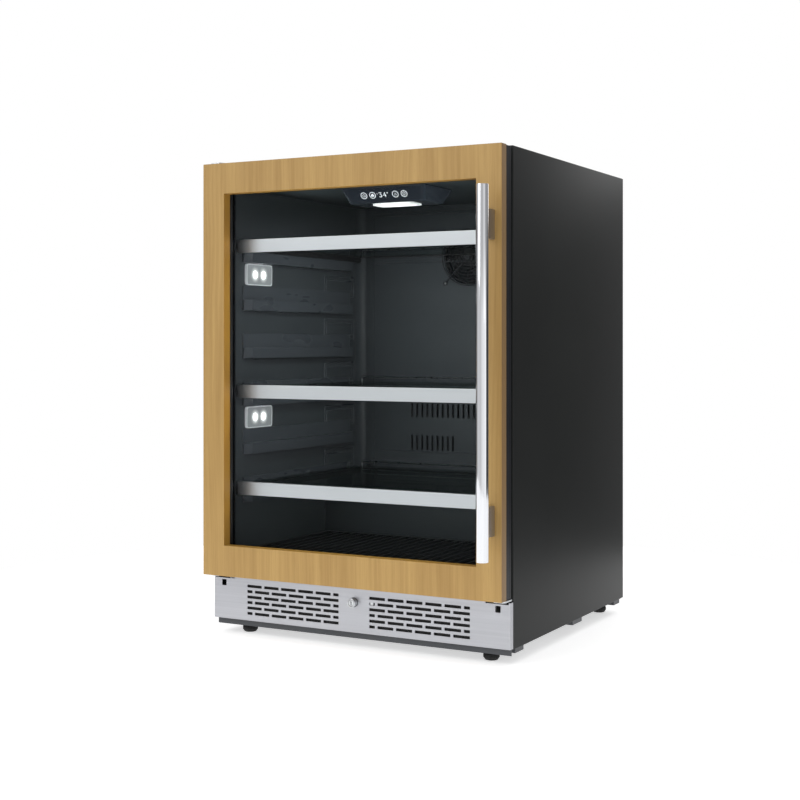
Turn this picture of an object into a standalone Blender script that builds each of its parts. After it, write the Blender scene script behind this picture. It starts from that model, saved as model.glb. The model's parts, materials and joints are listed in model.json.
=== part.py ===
"""Undercounter refrigerator with a glass door in a wooden overlay frame.

Metres, +Z up, the door faces -Y. The origin is on the floor, under the middle of the object's box.
Cabinet, shelves, door, lock, fans and levelling feet are separate pieces.
"""
import math

import bmesh
import bpy
from mathutils import Matrix, Vector

# ---- overall sizes
WIDTH = 0.595            # cabinet and door
HEIGHT = 0.860           # floor to the top of the case
CASE_DEPTH = 0.5396      # front flange to back edge of the case
GAP = 0.0003             # left between pieces that touch

# ---- case, insulation and liner
SHEET = 0.0010           # steel sheet of the case, base and covers
SIDE_BOTTOM = 0.0274     # lower edge of the case's sides
SIDE_WALL = 0.0385       # outer face to liner, at the sides
TOP_WALL = 0.0436
BACK_WALL = 0.0461
FLOOR_TOP = 0.1424       # compartment floor above the ground
FLOOR_FOAM = 0.0380      # insulation over the machine room and under the floor
LINER = 0.0015
FLANGE = 0.012           # case flange beside the air intake
FRONT_SILL = 0.1050      # lower edge of the flange under the compartment
CORNER_R = 0.020         # liner's upright back corners
EVAPORATOR_DEPTH = 0.040
EVAPORATOR_SIDE = 0.0235 # liner side to evaporator recess
EVAPORATOR_END = 0.012   # recess to ceiling and to hump
MACHINE_DEPTH = 0.1835
MACHINE_TOP = 0.188

# ---- shelf levels
LEVEL_PITCH = 0.0888
TOP_LEVEL_DROP = 0.0934  # ceiling to the top of the highest shelf trim
LEDGE_REACH = 0.0126
LEDGE_HEIGHT = 0.020
LEDGE_DROP = 0.0207      # trim top to ledge top
LEDGE_SETBACK = 0.0225   # case front to ledge
LEDGE_END = 0.030        # ledge to duct cover
LEDGE_OVER_HUMP = 0.008  # least room under the lowest ledge

# ---- shelves
GLASS_T = 0.004
GLASS_DROP = 0.004       # trim top to glass top
SHELF_SIDE = 0.003       # shelf to liner wall
RAIL_W = 0.009
TRIM_T = 0.0015
TRIM_HEIGHT = 0.0244
TRIM_LIP = 0.010
TRIM_SETBACK = 0.0020    # case front to trim
BACKSTOP = 0.010         # rear bar above the glass
SHELF_BACK = 0.009       # shelf to duct cover
SHELF_CORNER = 0.007     # rounding of its back corners

# ---- door
DOOR_BOTTOM = 0.1115
DOOR_TOP_GAP = 0.0016
WOOD_T = 0.0193
STILE = 0.0460
RAIL = 0.0555
FRAME_T = 0.0207         # black frame behind the wood
FRAME_INSET = 0.0010     # frame inside the wood's outline
FRAME_LIP = 0.0035       # opening of the frame outside the wood's opening
PANE_BITE = 0.0093       # pane edge outside the frame's opening
PANE_T = 0.0040
FRAME_BACK_LIP = 0.0023
SEAL_T = 0.0065
SEAL_INSET = 0.0150
SEAL_W = 0.0140

# ---- handle
HANDLE_R = 0.0105
HANDLE_STANDOFF = 0.038
HANDLE_SIDE = 0.0170     # door edge to handle axis
HANDLE_INSET = 0.070     # door ends to handle ends
BRACKET_INSET = 0.1325
BRACKET_W = 0.010
BRACKET_H = 0.0490

# ---- hinges
PIVOT_SIDE = 0.0125      # door edge to hinge axis
PIVOT_BACK = 0.0175      # hinge axis to case front
PIN_R = 0.004
BUSH_R = 0.0067
BUSH_LENGTH = 0.0142
HINGE_T = 0.0030
HINGE_NOSE = 0.0130      # plate in front of the hinge axis
HINGE_W = 0.0455
TOP_HINGE_W = 0.0710
TOP_HINGE_BACK = 0.0635  # plate over the case
HINGE_LEG = 0.0280
HINGE_SIDE = 0.0017      # plate to the side of the case
HINGE_BELOW = 0.0009     # plate to door

# ---- kick plate and lock
KICK_FRONT = 0.0120      # kick plate face to case front
KICK_T = 0.0012
KICK_BOTTOM = 0.0284
KICK_TOP = 0.1054
SLOT_INNER = 0.031       # plate middle to slots
SLOT_MARGIN = 0.0735     # slots to plate end
SLOT_H = 0.0050
SLOT_PITCH = 0.0099
SLOT_TOP = 0.0118        # plate top to first slot
SLOT_ROWS = 6
SLOT_SHORT = 0.011
SLOT_BRIDGE = 0.0054
SLOT_LONG_COUNT = 5
LOCK_DROP = 0.0243       # plate top to lock axis
LOCK_R = 0.0080
LOCK_REACH = 0.0100
LOCK_RIM = 0.0010        # rounding of the barrel's front edge
PLUG_R = 0.0055
KEY_SLOT_W = 0.0016
KEY_SLOT_H = 0.0070
KEY_SLOT_DEPTH = 0.0060
CAM_LENGTH = 0.0380
CAM_W = 0.0100
CAM_T = 0.0020
CAM_CLEARANCE = 0.0030   # cam to the ends of its pocket in the door
POCKET_SIDE = 0.0320
NOTCH_W = 0.0420         # notches in the plate's top corners
NOTCH_H = 0.0030
NOTCH_SIDE = 0.0030
MARK_W = 0.0095          # square holes under the notches
MARK_H = 0.0110
MARK_SIDE = 0.0175

# ---- base and feet
BASE_BOTTOM = 0.0164
BASE_SIDE = 0.0025
BASE_FRONT = 0.0020      # base strip in front of the case
CROSS_BOTTOM = 0.0184
FRONT_CROSS = (0.0135, 0.0485)   # from the case front
MIDDLE_CROSS = (0.2660, 0.2200)  # from the case back
REAR_CROSS = (0.0461, 0.0141)    # from the case back
FOOT_R = 0.014
FOOT_FACE_R = 0.011
FOOT_NECK_R = 0.010
FOOT_RIM = (0.004, 0.011)        # heights of the widest part
STUD_R = 0.004
STUD_PLAY = 0.0005
STUD_TOP = 0.052
FRONT_FOOT_SIDE = 0.0525
REAR_FOOT_SIDE = 0.0395
FRONT_FOOT_BACK = 0.0285
REAR_FOOT_FRONT = 0.0301

# ---- fans
FAN_SIZE = 0.120
FAN_DEPTH = 0.025
FAN_BORE_R = 0.0565
ROTOR_R = 0.0535
ROTOR_HUB_R = 0.020
BLADES = 7
BLADE_CHORD = 0.021
BLADE_T = 0.0016
BLADE_ROOT = 0.003       # blade inside its hub
BLADE_PITCH = 38         # degrees
MOTOR_T = 0.004
STRUT_W = 0.006
FAN_DROP = 0.1086        # ceiling to evaporator fan axis
FAN_BEHIND_COVER = 0.0040

# ---- fan guard
GUARD_STANDOFF = 0.0060
GUARD_HUB_R = 0.012
GUARD_HUB_T = 0.004
GUARD_ARM_W = 0.0026
GUARD_REACH = 0.0525     # axis to the arms' fixings, sideways and upwards
RING_WIRE_R = 0.0010
RING_COUNT = 5
RING_FIRST_R = 0.020
RING_PITCH = 0.009

# ---- duct cover
COVER_T = 0.002
COVER_HOLE_R = 0.0550
VENT_PITCH = 0.01183
VENT_W = 0.0045
VENT_COUNT = 23
VENT_SIDE_COUNT = 9
UPPER_VENT_RISE = 0.176  # hump top to vent row
UPPER_VENT_H = 0.029
LOWER_VENT_RISE = 0.109
LOWER_VENT_H = 0.031

# ---- floor rack and temperature sensor
RACK_H = 0.011
RACK_SIDE = 0.009        # rack to liner
RACK_SETBACK = 0.0135
RACK_BACK = 0.008        # rack to hump
RACK_PITCH = 0.020
RACK_SLOT = 0.012
RACK_RIM = 0.012
SENSOR_X = 0.150
SENSOR_DROP = 0.130      # fan axis to sensor
SENSOR_R = 0.004
SENSOR_H = 0.022
SENSOR_TIP = 0.004       # rounded ends

# ---- lights and controls
LIGHT_LENGTH = 0.085
LIGHT_HEIGHT = 0.040
LIGHT_T = 0.005
LIGHT_EDGE = 0.0015
LIGHT_PROUD = 0.002      # ceiling light below its housing
LIGHT_SETBACK = 0.0295   # case front to side light
LIGHT_DROP = 0.062       # trim top to the middle of a side light
HOUSING_HALF = 0.088
HOUSING_SETBACK = 0.0865
HOUSING_FACE_RUN = 0.017
HOUSING_HEIGHT = 0.028
HOUSING_DEPTH = 0.097
HOUSING_TAIL = 0.020
CEILING_LIGHT_BACK = 0.060       # housing front to the middle of its light
PANEL_HALF = 0.072
PANEL_T = 0.0012
PANEL_MARGIN = 0.003

# ---- machine room
COVER_SLOT_COUNT = 17
COVER_SLOT_PITCH = 0.018
COVER_SLOT_W = 0.006
COVER_SLOT_SIDE = 0.0395
COVER_SLOT_MARGIN = 0.028
COMPRESSOR_SIDE = 0.0325 # compressor to case
COMPRESSOR_R = 0.075
COMPRESSOR_H = 0.134
COMPRESSOR_FOOT_H = 0.006
COMPRESSOR_MOUNT_Z = 0.0045
COMPRESSOR_MOUNT_T = 0.003
MOUNT_SIDE = 0.013       # mounting plate outside the shell, at the case's side
MOUNT_INNER = 0.003      # and at the other side
MOUNT_HALF_D = 0.052
MOUNT_FOOT = 0.014
MOUNT_FOOT_INSET = 0.010
DRIP_TRAY_INSET = 0.003  # tray inside the shell's outline
DRIP_TRAY_LIFT = 0.002
DRIP_TRAY_DROP = 0.004
DRIP_TRAY_T = 0.0015
CONDENSER_FAN_SPACE = 0.012      # compressor to fan
CONDENSER_SPACE = 0.015  # fan to coil
CONDENSER_W = 0.090
CONDENSER_H = 0.120
CONDENSER_D = 0.120
CONDENSER_LIFT = 0.005
CONDENSER_FINS = 12
EVAPORATOR_FINS = 26
EVAPORATOR_RISE = 0.022  # upper vents to coil
EVAPORATOR_DROP = 0.015  # fan to coil
EVAPORATOR_INSET = 0.046 # recess side to coil
EVAPORATOR_GAP = 0.004   # coil to duct cover's side of the recess
EVAPORATOR_REAR = 0.006
FIN_SPINE = 0.008
FIN_SHARE = (0.3, 0.7)   # slot between fins, as shares of their pitch
TUBE_R = 0.0030
TUBE_BEHIND = 0.012      # tube to the front of the machine room
TUBE_TOP = 0.145
INLET_SIDE = 0.0475
INLET_W = 0.050
INLET_H = 0.030
INLET_DEPTH = 0.040
INLET_Z = 0.080
SOCKET_W = 0.024
SOCKET_H = 0.017
SOCKET_DEPTH = 0.014

# ---- places that follow from the sizes
HALF = WIDTH / 2
DOOR_TOP = HEIGHT - DOOR_TOP_GAP
CASE_FRONT = (HANDLE_STANDOFF + HANDLE_R + WOOD_T + FRAME_T + SEAL_T - CASE_DEPTH) / 2
CASE_BACK = CASE_FRONT + CASE_DEPTH
DOOR_BACK = CASE_FRONT - SEAL_T
FRAME_FRONT = DOOR_BACK - FRAME_T
WOOD_FRONT = FRAME_FRONT - WOOD_T
INNER_HALF = HALF - SHEET - GAP
LINER_HALF = HALF - SIDE_WALL
CEILING = HEIGHT - TOP_WALL
RECESS_BACK = CASE_BACK - BACK_WALL
RECESS_FRONT = RECESS_BACK - EVAPORATOR_DEPTH
RECESS_HALF = LINER_HALF - EVAPORATOR_SIDE
COVER_FRONT = RECESS_FRONT - GAP - COVER_T
MACHINE_FRONT = CASE_BACK - MACHINE_DEPTH
HUMP_FRONT = MACHINE_FRONT - FLOOR_FOAM - LINER
HUMP_TOP = MACHINE_TOP + FLOOR_FOAM + LINER
TOP_LEVEL = CEILING - TOP_LEVEL_DROP
LOWEST_LEVEL = HUMP_TOP + LEDGE_OVER_HUMP + LEDGE_DROP + LEDGE_HEIGHT
LEVEL_COUNT = 1 + int((TOP_LEVEL - LOWEST_LEVEL) / LEVEL_PITCH)
SHELF_LEVELS = {"upper": 0, "middle": (LEVEL_COUNT + 1) // 2, "lower": LEVEL_COUNT - 1}
TRIM_FRONT = CASE_FRONT + TRIM_SETBACK
WINDOW_X = HALF - STILE
WINDOW_LOW = DOOR_BOTTOM + RAIL
WINDOW_HIGH = DOOR_TOP - RAIL
PIVOT = Vector((PIVOT_SIDE - HALF, CASE_FRONT - PIVOT_BACK, 0.0))
KICK_FACE = CASE_FRONT - KICK_FRONT
LOCK_Z = KICK_TOP - LOCK_DROP
CAM_FRONT = KICK_FACE + KICK_T + 3 * GAP
FAN_Z = CEILING - FAN_DROP
COMPRESSOR_X = COMPRESSOR_SIDE + COMPRESSOR_R - HALF
CONDENSER_FAN_X = COMPRESSOR_X + COMPRESSOR_R + CONDENSER_FAN_SPACE + FAN_DEPTH
CONDENSER_X = CONDENSER_FAN_X + CONDENSER_SPACE
MACHINE_MID = MACHINE_FRONT + MACHINE_DEPTH / 2
BASE_TOP = SIDE_BOTTOM - GAP

X, Y, Z = Vector((1, 0, 0)), Vector((0, 1, 0)), Vector((0, 0, 1))


# ---------------------------------------------------------------- scene and materials
def clear_scene():
    for thing in list(bpy.data.objects):
        bpy.data.objects.remove(thing, do_unlink=True)
    for group in list(bpy.data.collections):
        bpy.data.collections.remove(group)


def new_collection(name):
    group = bpy.data.collections.new(name)
    bpy.context.scene.collection.children.link(group)
    return group


def material(name, color, roughness, metallic=0.0, alpha=1.0):
    made = bpy.data.materials.new(name)
    made.use_nodes = True
    shader = made.node_tree.nodes["Principled BSDF"]
    shader.inputs["Base Color"].default_value = (*color, 1.0)
    shader.inputs["Roughness"].default_value = roughness
    shader.inputs["Metallic"].default_value = metallic
    shader.inputs["Alpha"].default_value = alpha
    made.diffuse_color = (*color, alpha)
    return made


clear_scene()
PARTS = new_collection("undercounter_refrigerator")
CUTTERS = new_collection("cutters")

BLACK_STEEL = material("black_painted_steel", (0.027, 0.028, 0.027), 0.5)
ZINC = material("zinc_plate", (0.55, 0.56, 0.56), 0.35, 1.0)
STAINLESS = material("brushed_stainless", (0.47, 0.48, 0.50), 0.3, 1.0)
ALUMINIUM = material("brushed_aluminium", (0.58, 0.59, 0.62), 0.3, 1.0)
FIN_METAL = material("fin_aluminium", (0.6, 0.6, 0.6), 0.4, 1.0)
GREY_STEEL = material("grey_painted_steel", (0.054, 0.058, 0.066), 0.5)
LINER_PLASTIC = material("dark_liner_plastic", (0.035, 0.037, 0.040), 0.4)
BLACK_PLASTIC = material("black_plastic", (0.012, 0.012, 0.012), 0.45)
FOAM = material("insulation_foam", (0.75, 0.68, 0.42), 0.9)
WOOD = material("overlay_wood", (0.50, 0.33, 0.12), 0.5)
RUBBER = material("black_rubber", (0.01, 0.01, 0.01), 0.7)
GLASS = material("clear_glass", (0.8, 0.85, 0.85), 0.05, 0.0, 0.25)
LENS = material("light_lens", (0.9, 0.9, 0.88), 0.2)
COPPER = material("copper_tube", (0.7, 0.32, 0.17), 0.3, 1.0)


# ---------------------------------------------------------------- shapes
def place(name, data, finish, location, helper=False):
    """Link an object: a part with its material, or a helper that only cuts or joins (no finish)."""
    made = bpy.data.objects.new(name, data)
    made.location = location
    if helper:
        CUTTERS.objects.link(made)
        made.hide_render = True
        made.display_type = "WIRE"
    else:
        PARTS.objects.link(made)
        data.materials.append(finish)
    return made


def mesh_from(name, work):
    data = bpy.data.meshes.new(name)
    work.to_mesh(data)
    work.free()
    return data


def add_cube(work, low, high):
    low, high = Vector(low), Vector(high)
    size = Matrix.Diagonal((high - low).to_4d())
    size[3][3] = 1.0
    bmesh.ops.create_cube(work, size=1.0, matrix=Matrix.Translation((low + high) / 2) @ size)


def box(name, low, high, finish=None):
    """A block between two corners, with its origin at its middle."""
    middle = (Vector(low) + Vector(high)) / 2
    work = bmesh.new()
    add_cube(work, Vector(low) - middle, Vector(high) - middle)
    return place(name, mesh_from(name, work), finish, middle, finish is None)


def blocks(name, corners):
    """Helper made of several blocks that stay apart from each other."""
    work = bmesh.new()
    for low, high in corners:
        add_cube(work, low, high)
    return place(name, mesh_from(name, work), None, (0, 0, 0), True)


def facing(axis):
    return Z.rotation_difference(Vector(axis)).to_matrix().to_4x4()


def round_shading(thing):
    thing.data.shade_smooth()
    thing.data.set_sharp_from_angle(angle=math.radians(35))


def cylinder(name, middle, radius, length, axis=Z, finish=None, sides=32):
    work = bmesh.new()
    bmesh.ops.create_cone(
        work, cap_ends=True, segments=sides, radius1=radius, radius2=radius, depth=length,
        matrix=facing(axis))
    made = place(name, mesh_from(name, work), finish, middle, finish is None)
    round_shading(made)
    return made


def turned(name, profile, base, axis=Z, finish=None, sides=32):
    """A profile of (radius, height) points, top to bottom down its outside, turned about its axis."""
    data = bpy.data.meshes.new(name)
    steps = len(profile)
    closed = profile[0][0] > 0
    links = [(i, i + 1) for i in range(steps - 1)] + ([(steps - 1, 0)] if closed else [])
    data.from_pydata([(r, 0.0, h) for r, h in profile], links, [])
    made = place(name, data, finish, base, finish is None)
    made.rotation_euler = facing(axis).to_euler()
    screw = made.modifiers.new("turn", "SCREW")
    screw.steps = screw.render_steps = sides
    screw.use_merge_vertices = True
    screw.merge_threshold = 0.00001
    screw.use_smooth_shade = True
    return made


def outline(name, points, half, finish=None):
    """A flat YZ outline, extruded by half its width each way along X, as a mesh."""
    curve = bpy.data.curves.new(name, "CURVE")
    curve.dimensions = "2D"
    curve.fill_mode = "BOTH"
    curve.extrude = half
    spline = curve.splines.new("POLY")
    spline.points.add(len(points) - 1)
    for point, (y, z) in zip(spline.points, points):
        point.co = (y, z, 0.0, 1.0)
    spline.use_cyclic_u = True
    flat = place(name + "_outline", curve, None, (0, 0, 0), True)
    flat.rotation_euler = (math.pi / 2, 0.0, math.pi / 2)
    bpy.context.view_layer.update()
    solid = as_mesh(flat)
    made = place(name, solid, finish, (0, 0, 0), finish is None)
    made.matrix_world = flat.matrix_world
    bpy.data.objects.remove(flat, do_unlink=True)
    return made


def as_mesh(thing):
    """The evaluated shape of a curve with its caps welded."""
    seen = bpy.context.evaluated_depsgraph_get()
    data = bpy.data.meshes.new_from_object(thing.evaluated_get(seen))
    work = bmesh.new()
    work.from_mesh(data)
    bmesh.ops.remove_doubles(work, verts=work.verts, dist=0.00001)
    work.to_mesh(data)
    work.free()
    data.materials.clear()
    return data


def tube(name, points, radius, finish, smooth=False, roundness=4):
    """A pipe along a list of points."""
    curve = bpy.data.curves.new(name, "CURVE")
    curve.dimensions = "3D"
    curve.bevel_depth = radius
    curve.bevel_resolution = roundness
    curve.use_fill_caps = True
    spline = curve.splines.new("NURBS" if smooth else "POLY")
    spline.points.add(len(points) - 1)
    for point, place_at in zip(spline.points, points):
        point.co = (*(Vector(place_at) - Vector(points[0])), 1.0)
    if smooth:
        spline.use_endpoint_u = True
        spline.order_u = 3
        spline.resolution_u = 3
    return place(name, curve, finish, points[0])


def tray(name, low, high, open_sides, thickness, finish):
    """A folded sheet: a block's faces, without the named ones, thickened inwards."""
    made = box(name, low, high, finish)
    work = bmesh.new()
    work.from_mesh(made.data)
    gone = [f for f in work.faces if any(f.normal.dot(side) > 0.9 for side in open_sides)]
    bmesh.ops.delete(work, geom=gone, context="FACES")
    work.to_mesh(made.data)
    work.free()
    wall = made.modifiers.new("sheet", "SOLIDIFY")
    wall.thickness = thickness
    wall.offset = -1.0
    wall.use_even_offset = True
    return made


def cut(target, tool):
    change = target.modifiers.new("cut_" + tool.name, "BOOLEAN")
    change.operation = "DIFFERENCE"
    change.object = tool


def fuse(target, tool):
    change = target.modifiers.new("join_" + tool.name, "BOOLEAN")
    change.operation = "UNION"
    change.object = tool


def soften(thing, width, segments=2, angle=40):
    """Rounded edges."""
    change = thing.modifiers.new("rounding", "BEVEL")
    change.width = width
    change.segments = segments
    change.limit_method = "ANGLE"
    change.angle_limit = math.radians(angle)


def round_back_corners(thing, radius, segments):
    """Round a block's two upright back edges."""
    weights = thing.data.attributes.new("bevel_weight_edge", "FLOAT", "EDGE")
    for edge in thing.data.edges:
        ends = [thing.data.vertices[i].co for i in edge.vertices]
        upright = (ends[0] - ends[1]).normalized().dot(Z)
        weights.data[edge.index].value = float(abs(upright) > 0.9 and ends[0].y > 0)
    corners = thing.modifiers.new("corners", "BEVEL")
    corners.limit_method = "WEIGHT"
    corners.width = radius
    corners.segments = segments


def axis_empty(name, at):
    made = bpy.data.objects.new(name, None)
    made.location = at
    PARTS.objects.link(made)
    return made


def hang(empty, *things):
    """Parent pieces, with whatever cuts or joins them, to the empty on their joint's axis."""
    for thing in things:
        if thing.parent:
            continue
        thing.parent = empty
        thing.location -= empty.location
        tools = [change.object for change in thing.modifiers if change.type == "BOOLEAN"]
        hang(empty, *tools)


# ---------------------------------------------------------------- cabinet
def compartment(name, grow, front, finish=None):
    """The cold space, grown by a wall: main volume, space in front of the hump, evaporator recess."""
    half = LINER_HALF + grow
    main = box(
        name, (-half, front, HUMP_TOP - grow), (half, RECESS_FRONT + grow, CEILING + grow), finish)
    round_back_corners(main, CORNER_R, 4)
    fuse(main, box(
        name + "_well", (-half, front, FLOOR_TOP - grow), (half, HUMP_FRONT + grow, HUMP_TOP + grow)))
    fuse(main, box(
        name + "_recess",
        (-RECESS_HALF - grow, RECESS_FRONT - LINER, HUMP_TOP + EVAPORATOR_END - grow),
        (RECESS_HALF + grow, RECESS_BACK + grow, CEILING - EVAPORATOR_END + grow)))
    return main


def level_top(level):
    return TOP_LEVEL - level * LEVEL_PITCH


def make_liner():
    liner = compartment("inner_liner", LINER, CASE_FRONT + GAP, LINER_PLASTIC)
    cut(liner, compartment("cold_space", 0.0, CASE_FRONT - FLANGE))
    ledges = []
    for level in range(LEVEL_COUNT):
        top = level_top(level) - LEDGE_DROP
        for side in (-1, 1):
            ends = sorted((side * (LINER_HALF + LINER / 2), side * (LINER_HALF - LEDGE_REACH)))
            ledges.append((
                (ends[0], CASE_FRONT + LEDGE_SETBACK, top - LEDGE_HEIGHT),
                (ends[1], COVER_FRONT - LEDGE_END, top)))
    fuse(liner, blocks("ledges", ledges))


def make_case():
    case = tray(
        "outer_case", (-HALF, CASE_FRONT, SIDE_BOTTOM), (HALF, CASE_BACK, HEIGHT),
        (Y, -Z), SHEET, BLACK_STEEL)
    edge = LINER + GAP
    cut(case, blocks("case_openings", [
        ((-LINER_HALF - edge, CASE_FRONT - FLANGE, FLOOR_TOP - edge),
         (LINER_HALF + edge, CASE_FRONT + FLANGE, CEILING + edge)),
        ((FLANGE - HALF, CASE_FRONT - FLANGE, SIDE_BOTTOM - FLANGE),
         (HALF - FLANGE, CASE_FRONT + FLANGE, FRONT_SILL))]))


def make_back():
    low_back = CASE_BACK - GAP - SHEET
    box("back_panel", (-INNER_HALF, low_back, MACHINE_TOP + SHEET + GAP),
        (INNER_HALF, CASE_BACK - GAP, HEIGHT - SHEET - GAP), BLACK_STEEL)
    cover = box("machine_cover", (-INNER_HALF, low_back, SIDE_BOTTOM + GAP),
                (INNER_HALF, CASE_BACK - GAP, MACHINE_TOP - GAP), BLACK_STEEL)
    slots = []
    for index in range(COVER_SLOT_COUNT):
        left = COVER_SLOT_SIDE - HALF + index * COVER_SLOT_PITCH
        slots.append(((left, low_back - SHEET, SIDE_BOTTOM + COVER_SLOT_MARGIN),
                      (left + COVER_SLOT_W, CASE_BACK + SHEET, MACHINE_TOP - COVER_SLOT_MARGIN)))
    cut(cover, blocks("machine_cover_slots", slots))
    x_mid = HALF - INLET_SIDE - INLET_W / 2
    cut(cover, box(
        "inlet_window", (x_mid - INLET_W / 2 - GAP, low_back - SHEET, INLET_Z - INLET_H / 2 - GAP),
        (x_mid + INLET_W / 2 + GAP, CASE_BACK + SHEET, INLET_Z + INLET_H / 2 + GAP)))


def make_machine_panel():
    """The stepped sheet that closes the insulation from below."""
    low, high = FRONT_SILL + GAP, MACHINE_TOP
    front, back = CASE_FRONT + SHEET + GAP, CASE_BACK - 2 * GAP - SHEET
    outline("machine_room_panel", [
        (front, low), (MACHINE_FRONT, low), (MACHINE_FRONT, high - SHEET), (back, high - SHEET),
        (back, high), (MACHINE_FRONT - SHEET, high), (MACHINE_FRONT - SHEET, low + SHEET),
        (front, low + SHEET)], INNER_HALF, BLACK_STEEL)


def make_foam():
    low = FRONT_SILL + SHEET + 2 * GAP
    foam = box("foam_insulation", (-INNER_HALF, CASE_FRONT + SHEET + GAP, low),
               (INNER_HALF, CASE_BACK - SHEET - 2 * GAP, HEIGHT - SHEET - GAP), FOAM)
    cut(foam, box("machine_space", (-WIDTH, MACHINE_FRONT - SHEET - GAP, 0.0),
                  (WIDTH, CASE_BACK + SHEET, MACHINE_TOP + GAP)))
    cut(foam, compartment("liner_space", LINER + GAP, CASE_FRONT - FLANGE))


def foot_places():
    return {
        "front_left": (FRONT_FOOT_SIDE - HALF, CASE_FRONT + FRONT_FOOT_BACK),
        "front_right": (HALF - FRONT_FOOT_SIDE, CASE_FRONT + FRONT_FOOT_BACK),
        "rear_left": (REAR_FOOT_SIDE - HALF, CASE_BACK - REAR_FOOT_FRONT),
        "rear_right": (HALF - REAR_FOOT_SIDE, CASE_BACK - REAR_FOOT_FRONT)}


def make_base():
    side = HALF - BASE_SIDE
    front = CASE_FRONT - BASE_FRONT
    pan = box("base_pan", (-side, front, BASE_TOP - 1.5 * SHEET), (side, CASE_BACK - BASE_FRONT, BASE_TOP),
              GREY_STEEL)
    strip = box("base_strip", (-side, front, BASE_BOTTOM), (side, front + 1.5 * SHEET, BASE_TOP - SHEET))
    fuse(pan, strip)
    spans = [[CASE_FRONT + place_at for place_at in FRONT_CROSS]]
    spans += [[CASE_BACK - place_at for place_at in cross] for cross in (MIDDLE_CROSS, REAR_CROSS)]
    fuse(pan, blocks("crossmembers", [
        ((-side, start, CROSS_BOTTOM), (side, end, BASE_TOP - SHEET)) for start, end in spans]))
    for name, (x, y) in foot_places().items():
        cut(pan, cylinder(name + "_foot_hole", (x, y, BASE_TOP), STUD_R + STUD_PLAY, BASE_TOP, sides=16))


def make_feet():
    neck = BASE_BOTTOM - GAP
    for name, (x, y) in foot_places().items():
        foot = turned(name + "_foot", [
            (0, STUD_TOP), (STUD_R, STUD_TOP), (STUD_R, neck), (FOOT_NECK_R, neck),
            (FOOT_R, FOOT_RIM[1]), (FOOT_R, FOOT_RIM[0]), (FOOT_FACE_R, 0), (0, 0)],
            (0, 0, 0), Z, RUBBER, 20)
        hang(axis_empty(name + "_foot_axis", (x, y, 0)), foot)
        foot.location = (0, 0, 0)


def make_floor_rack():
    low, high = FLOOR_TOP + GAP, FLOOR_TOP + RACK_H
    half = LINER_HALF - RACK_SIDE
    front, back = CASE_FRONT + RACK_SETBACK, HUMP_FRONT - RACK_BACK
    rack = box("floor_rack", (-half, front, low), (half, back, high), BLACK_PLASTIC)
    count = int((2 * half - 2 * RACK_RIM) / RACK_PITCH)
    start = -(count - 1) * RACK_PITCH / 2
    cut(rack, blocks("rack_slots", [
        ((start + i * RACK_PITCH - RACK_SLOT / 2, front + RACK_RIM, low - RACK_RIM),
         (start + i * RACK_PITCH + RACK_SLOT / 2, back - RACK_RIM, high + RACK_RIM))
        for i in range(count)]))


# ---------------------------------------------------------------- air system
def make_duct_cover():
    half = RECESS_HALF + 0.0025
    cover = box("rear_duct_cover", (-half, COVER_FRONT, HUMP_TOP + GAP),
                (half, COVER_FRONT + COVER_T, CEILING - GAP), LINER_PLASTIC)
    cut(cover, cylinder(
        "cover_fan_hole", (0, COVER_FRONT, FAN_Z), COVER_HOLE_R, 8 * COVER_T, Y, sides=40))
    slots = []
    for index in range(VENT_COUNT):
        x = (index - (VENT_COUNT - 1) / 2) * VENT_PITCH
        rows = [(UPPER_VENT_RISE, UPPER_VENT_H)]
        if min(index, VENT_COUNT - 1 - index) < VENT_SIDE_COUNT:
            rows.append((LOWER_VENT_RISE, LOWER_VENT_H))
        for rise, height in rows:
            z = HUMP_TOP + rise
            slots.append(((x - VENT_W / 2, COVER_FRONT - COVER_T, z - height / 2),
                          (x + VENT_W / 2, COVER_FRONT + 2 * COVER_T, z + height / 2)))
    cut(cover, blocks("cover_vents", slots))


def make_fan(prefix, middle, axis):
    """A square frame with struts, and a rotor that turns in it. The middle is the frame's."""
    turn = facing(axis)
    half, deep = FAN_SIZE / 2, FAN_DEPTH / 2
    frame = box(prefix + "_fan_frame", (-half, -half, -deep), (half, half, deep), BLACK_PLASTIC)
    bore = cylinder(prefix + "_bore", (0, 0, 0), FAN_BORE_R, 2 * FAN_DEPTH, sides=32)
    hub = cylinder(prefix + "_motor", (0, 0, deep - MOTOR_T / 2), ROTOR_HUB_R, MOTOR_T, sides=20)
    reach = (FAN_BORE_R + half) / 2
    struts = box(prefix + "_strut", (-reach, -STRUT_W / 2, deep - MOTOR_T),
                 (reach, STRUT_W / 2, deep - GAP))
    cut(frame, bore)
    fuse(frame, hub)
    fuse(frame, struts)
    rotor = cylinder(prefix + "_fan_rotor", (0, 0, -MOTOR_T / 2 - GAP), ROTOR_HUB_R,
                     FAN_DEPTH - MOTOR_T - 2 * GAP, Z, BLACK_PLASTIC, 24)
    pitch = math.radians(BLADE_PITCH)
    for index in range(BLADES):
        work = bmesh.new()
        add_cube(work, (ROTOR_HUB_R - BLADE_ROOT, -BLADE_CHORD / 2, -BLADE_T / 2),
                 (ROTOR_R, BLADE_CHORD / 2, BLADE_T / 2))
        lean = Matrix.Rotation(2 * math.pi * index / BLADES, 4, "Z") @ Matrix.Rotation(pitch, 4, "X")
        bmesh.ops.transform(work, matrix=lean, verts=work.verts)
        name = "%s_blade_%d" % (prefix, index + 1)
        blade = place(name, mesh_from(name, work), None, (0, 0, -MOTOR_T / 2), True)
        fuse(rotor, blade)
    empty = axis_empty(prefix + "_fan_axis", (0, 0, 0))
    hang(empty, rotor)
    spot = axis_empty(prefix + "_fan_mount", (0, 0, 0))
    hang(spot, frame)
    for carrier in (empty, spot):
        carrier.location = middle
        carrier.rotation_euler = turn.to_euler()


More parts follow.
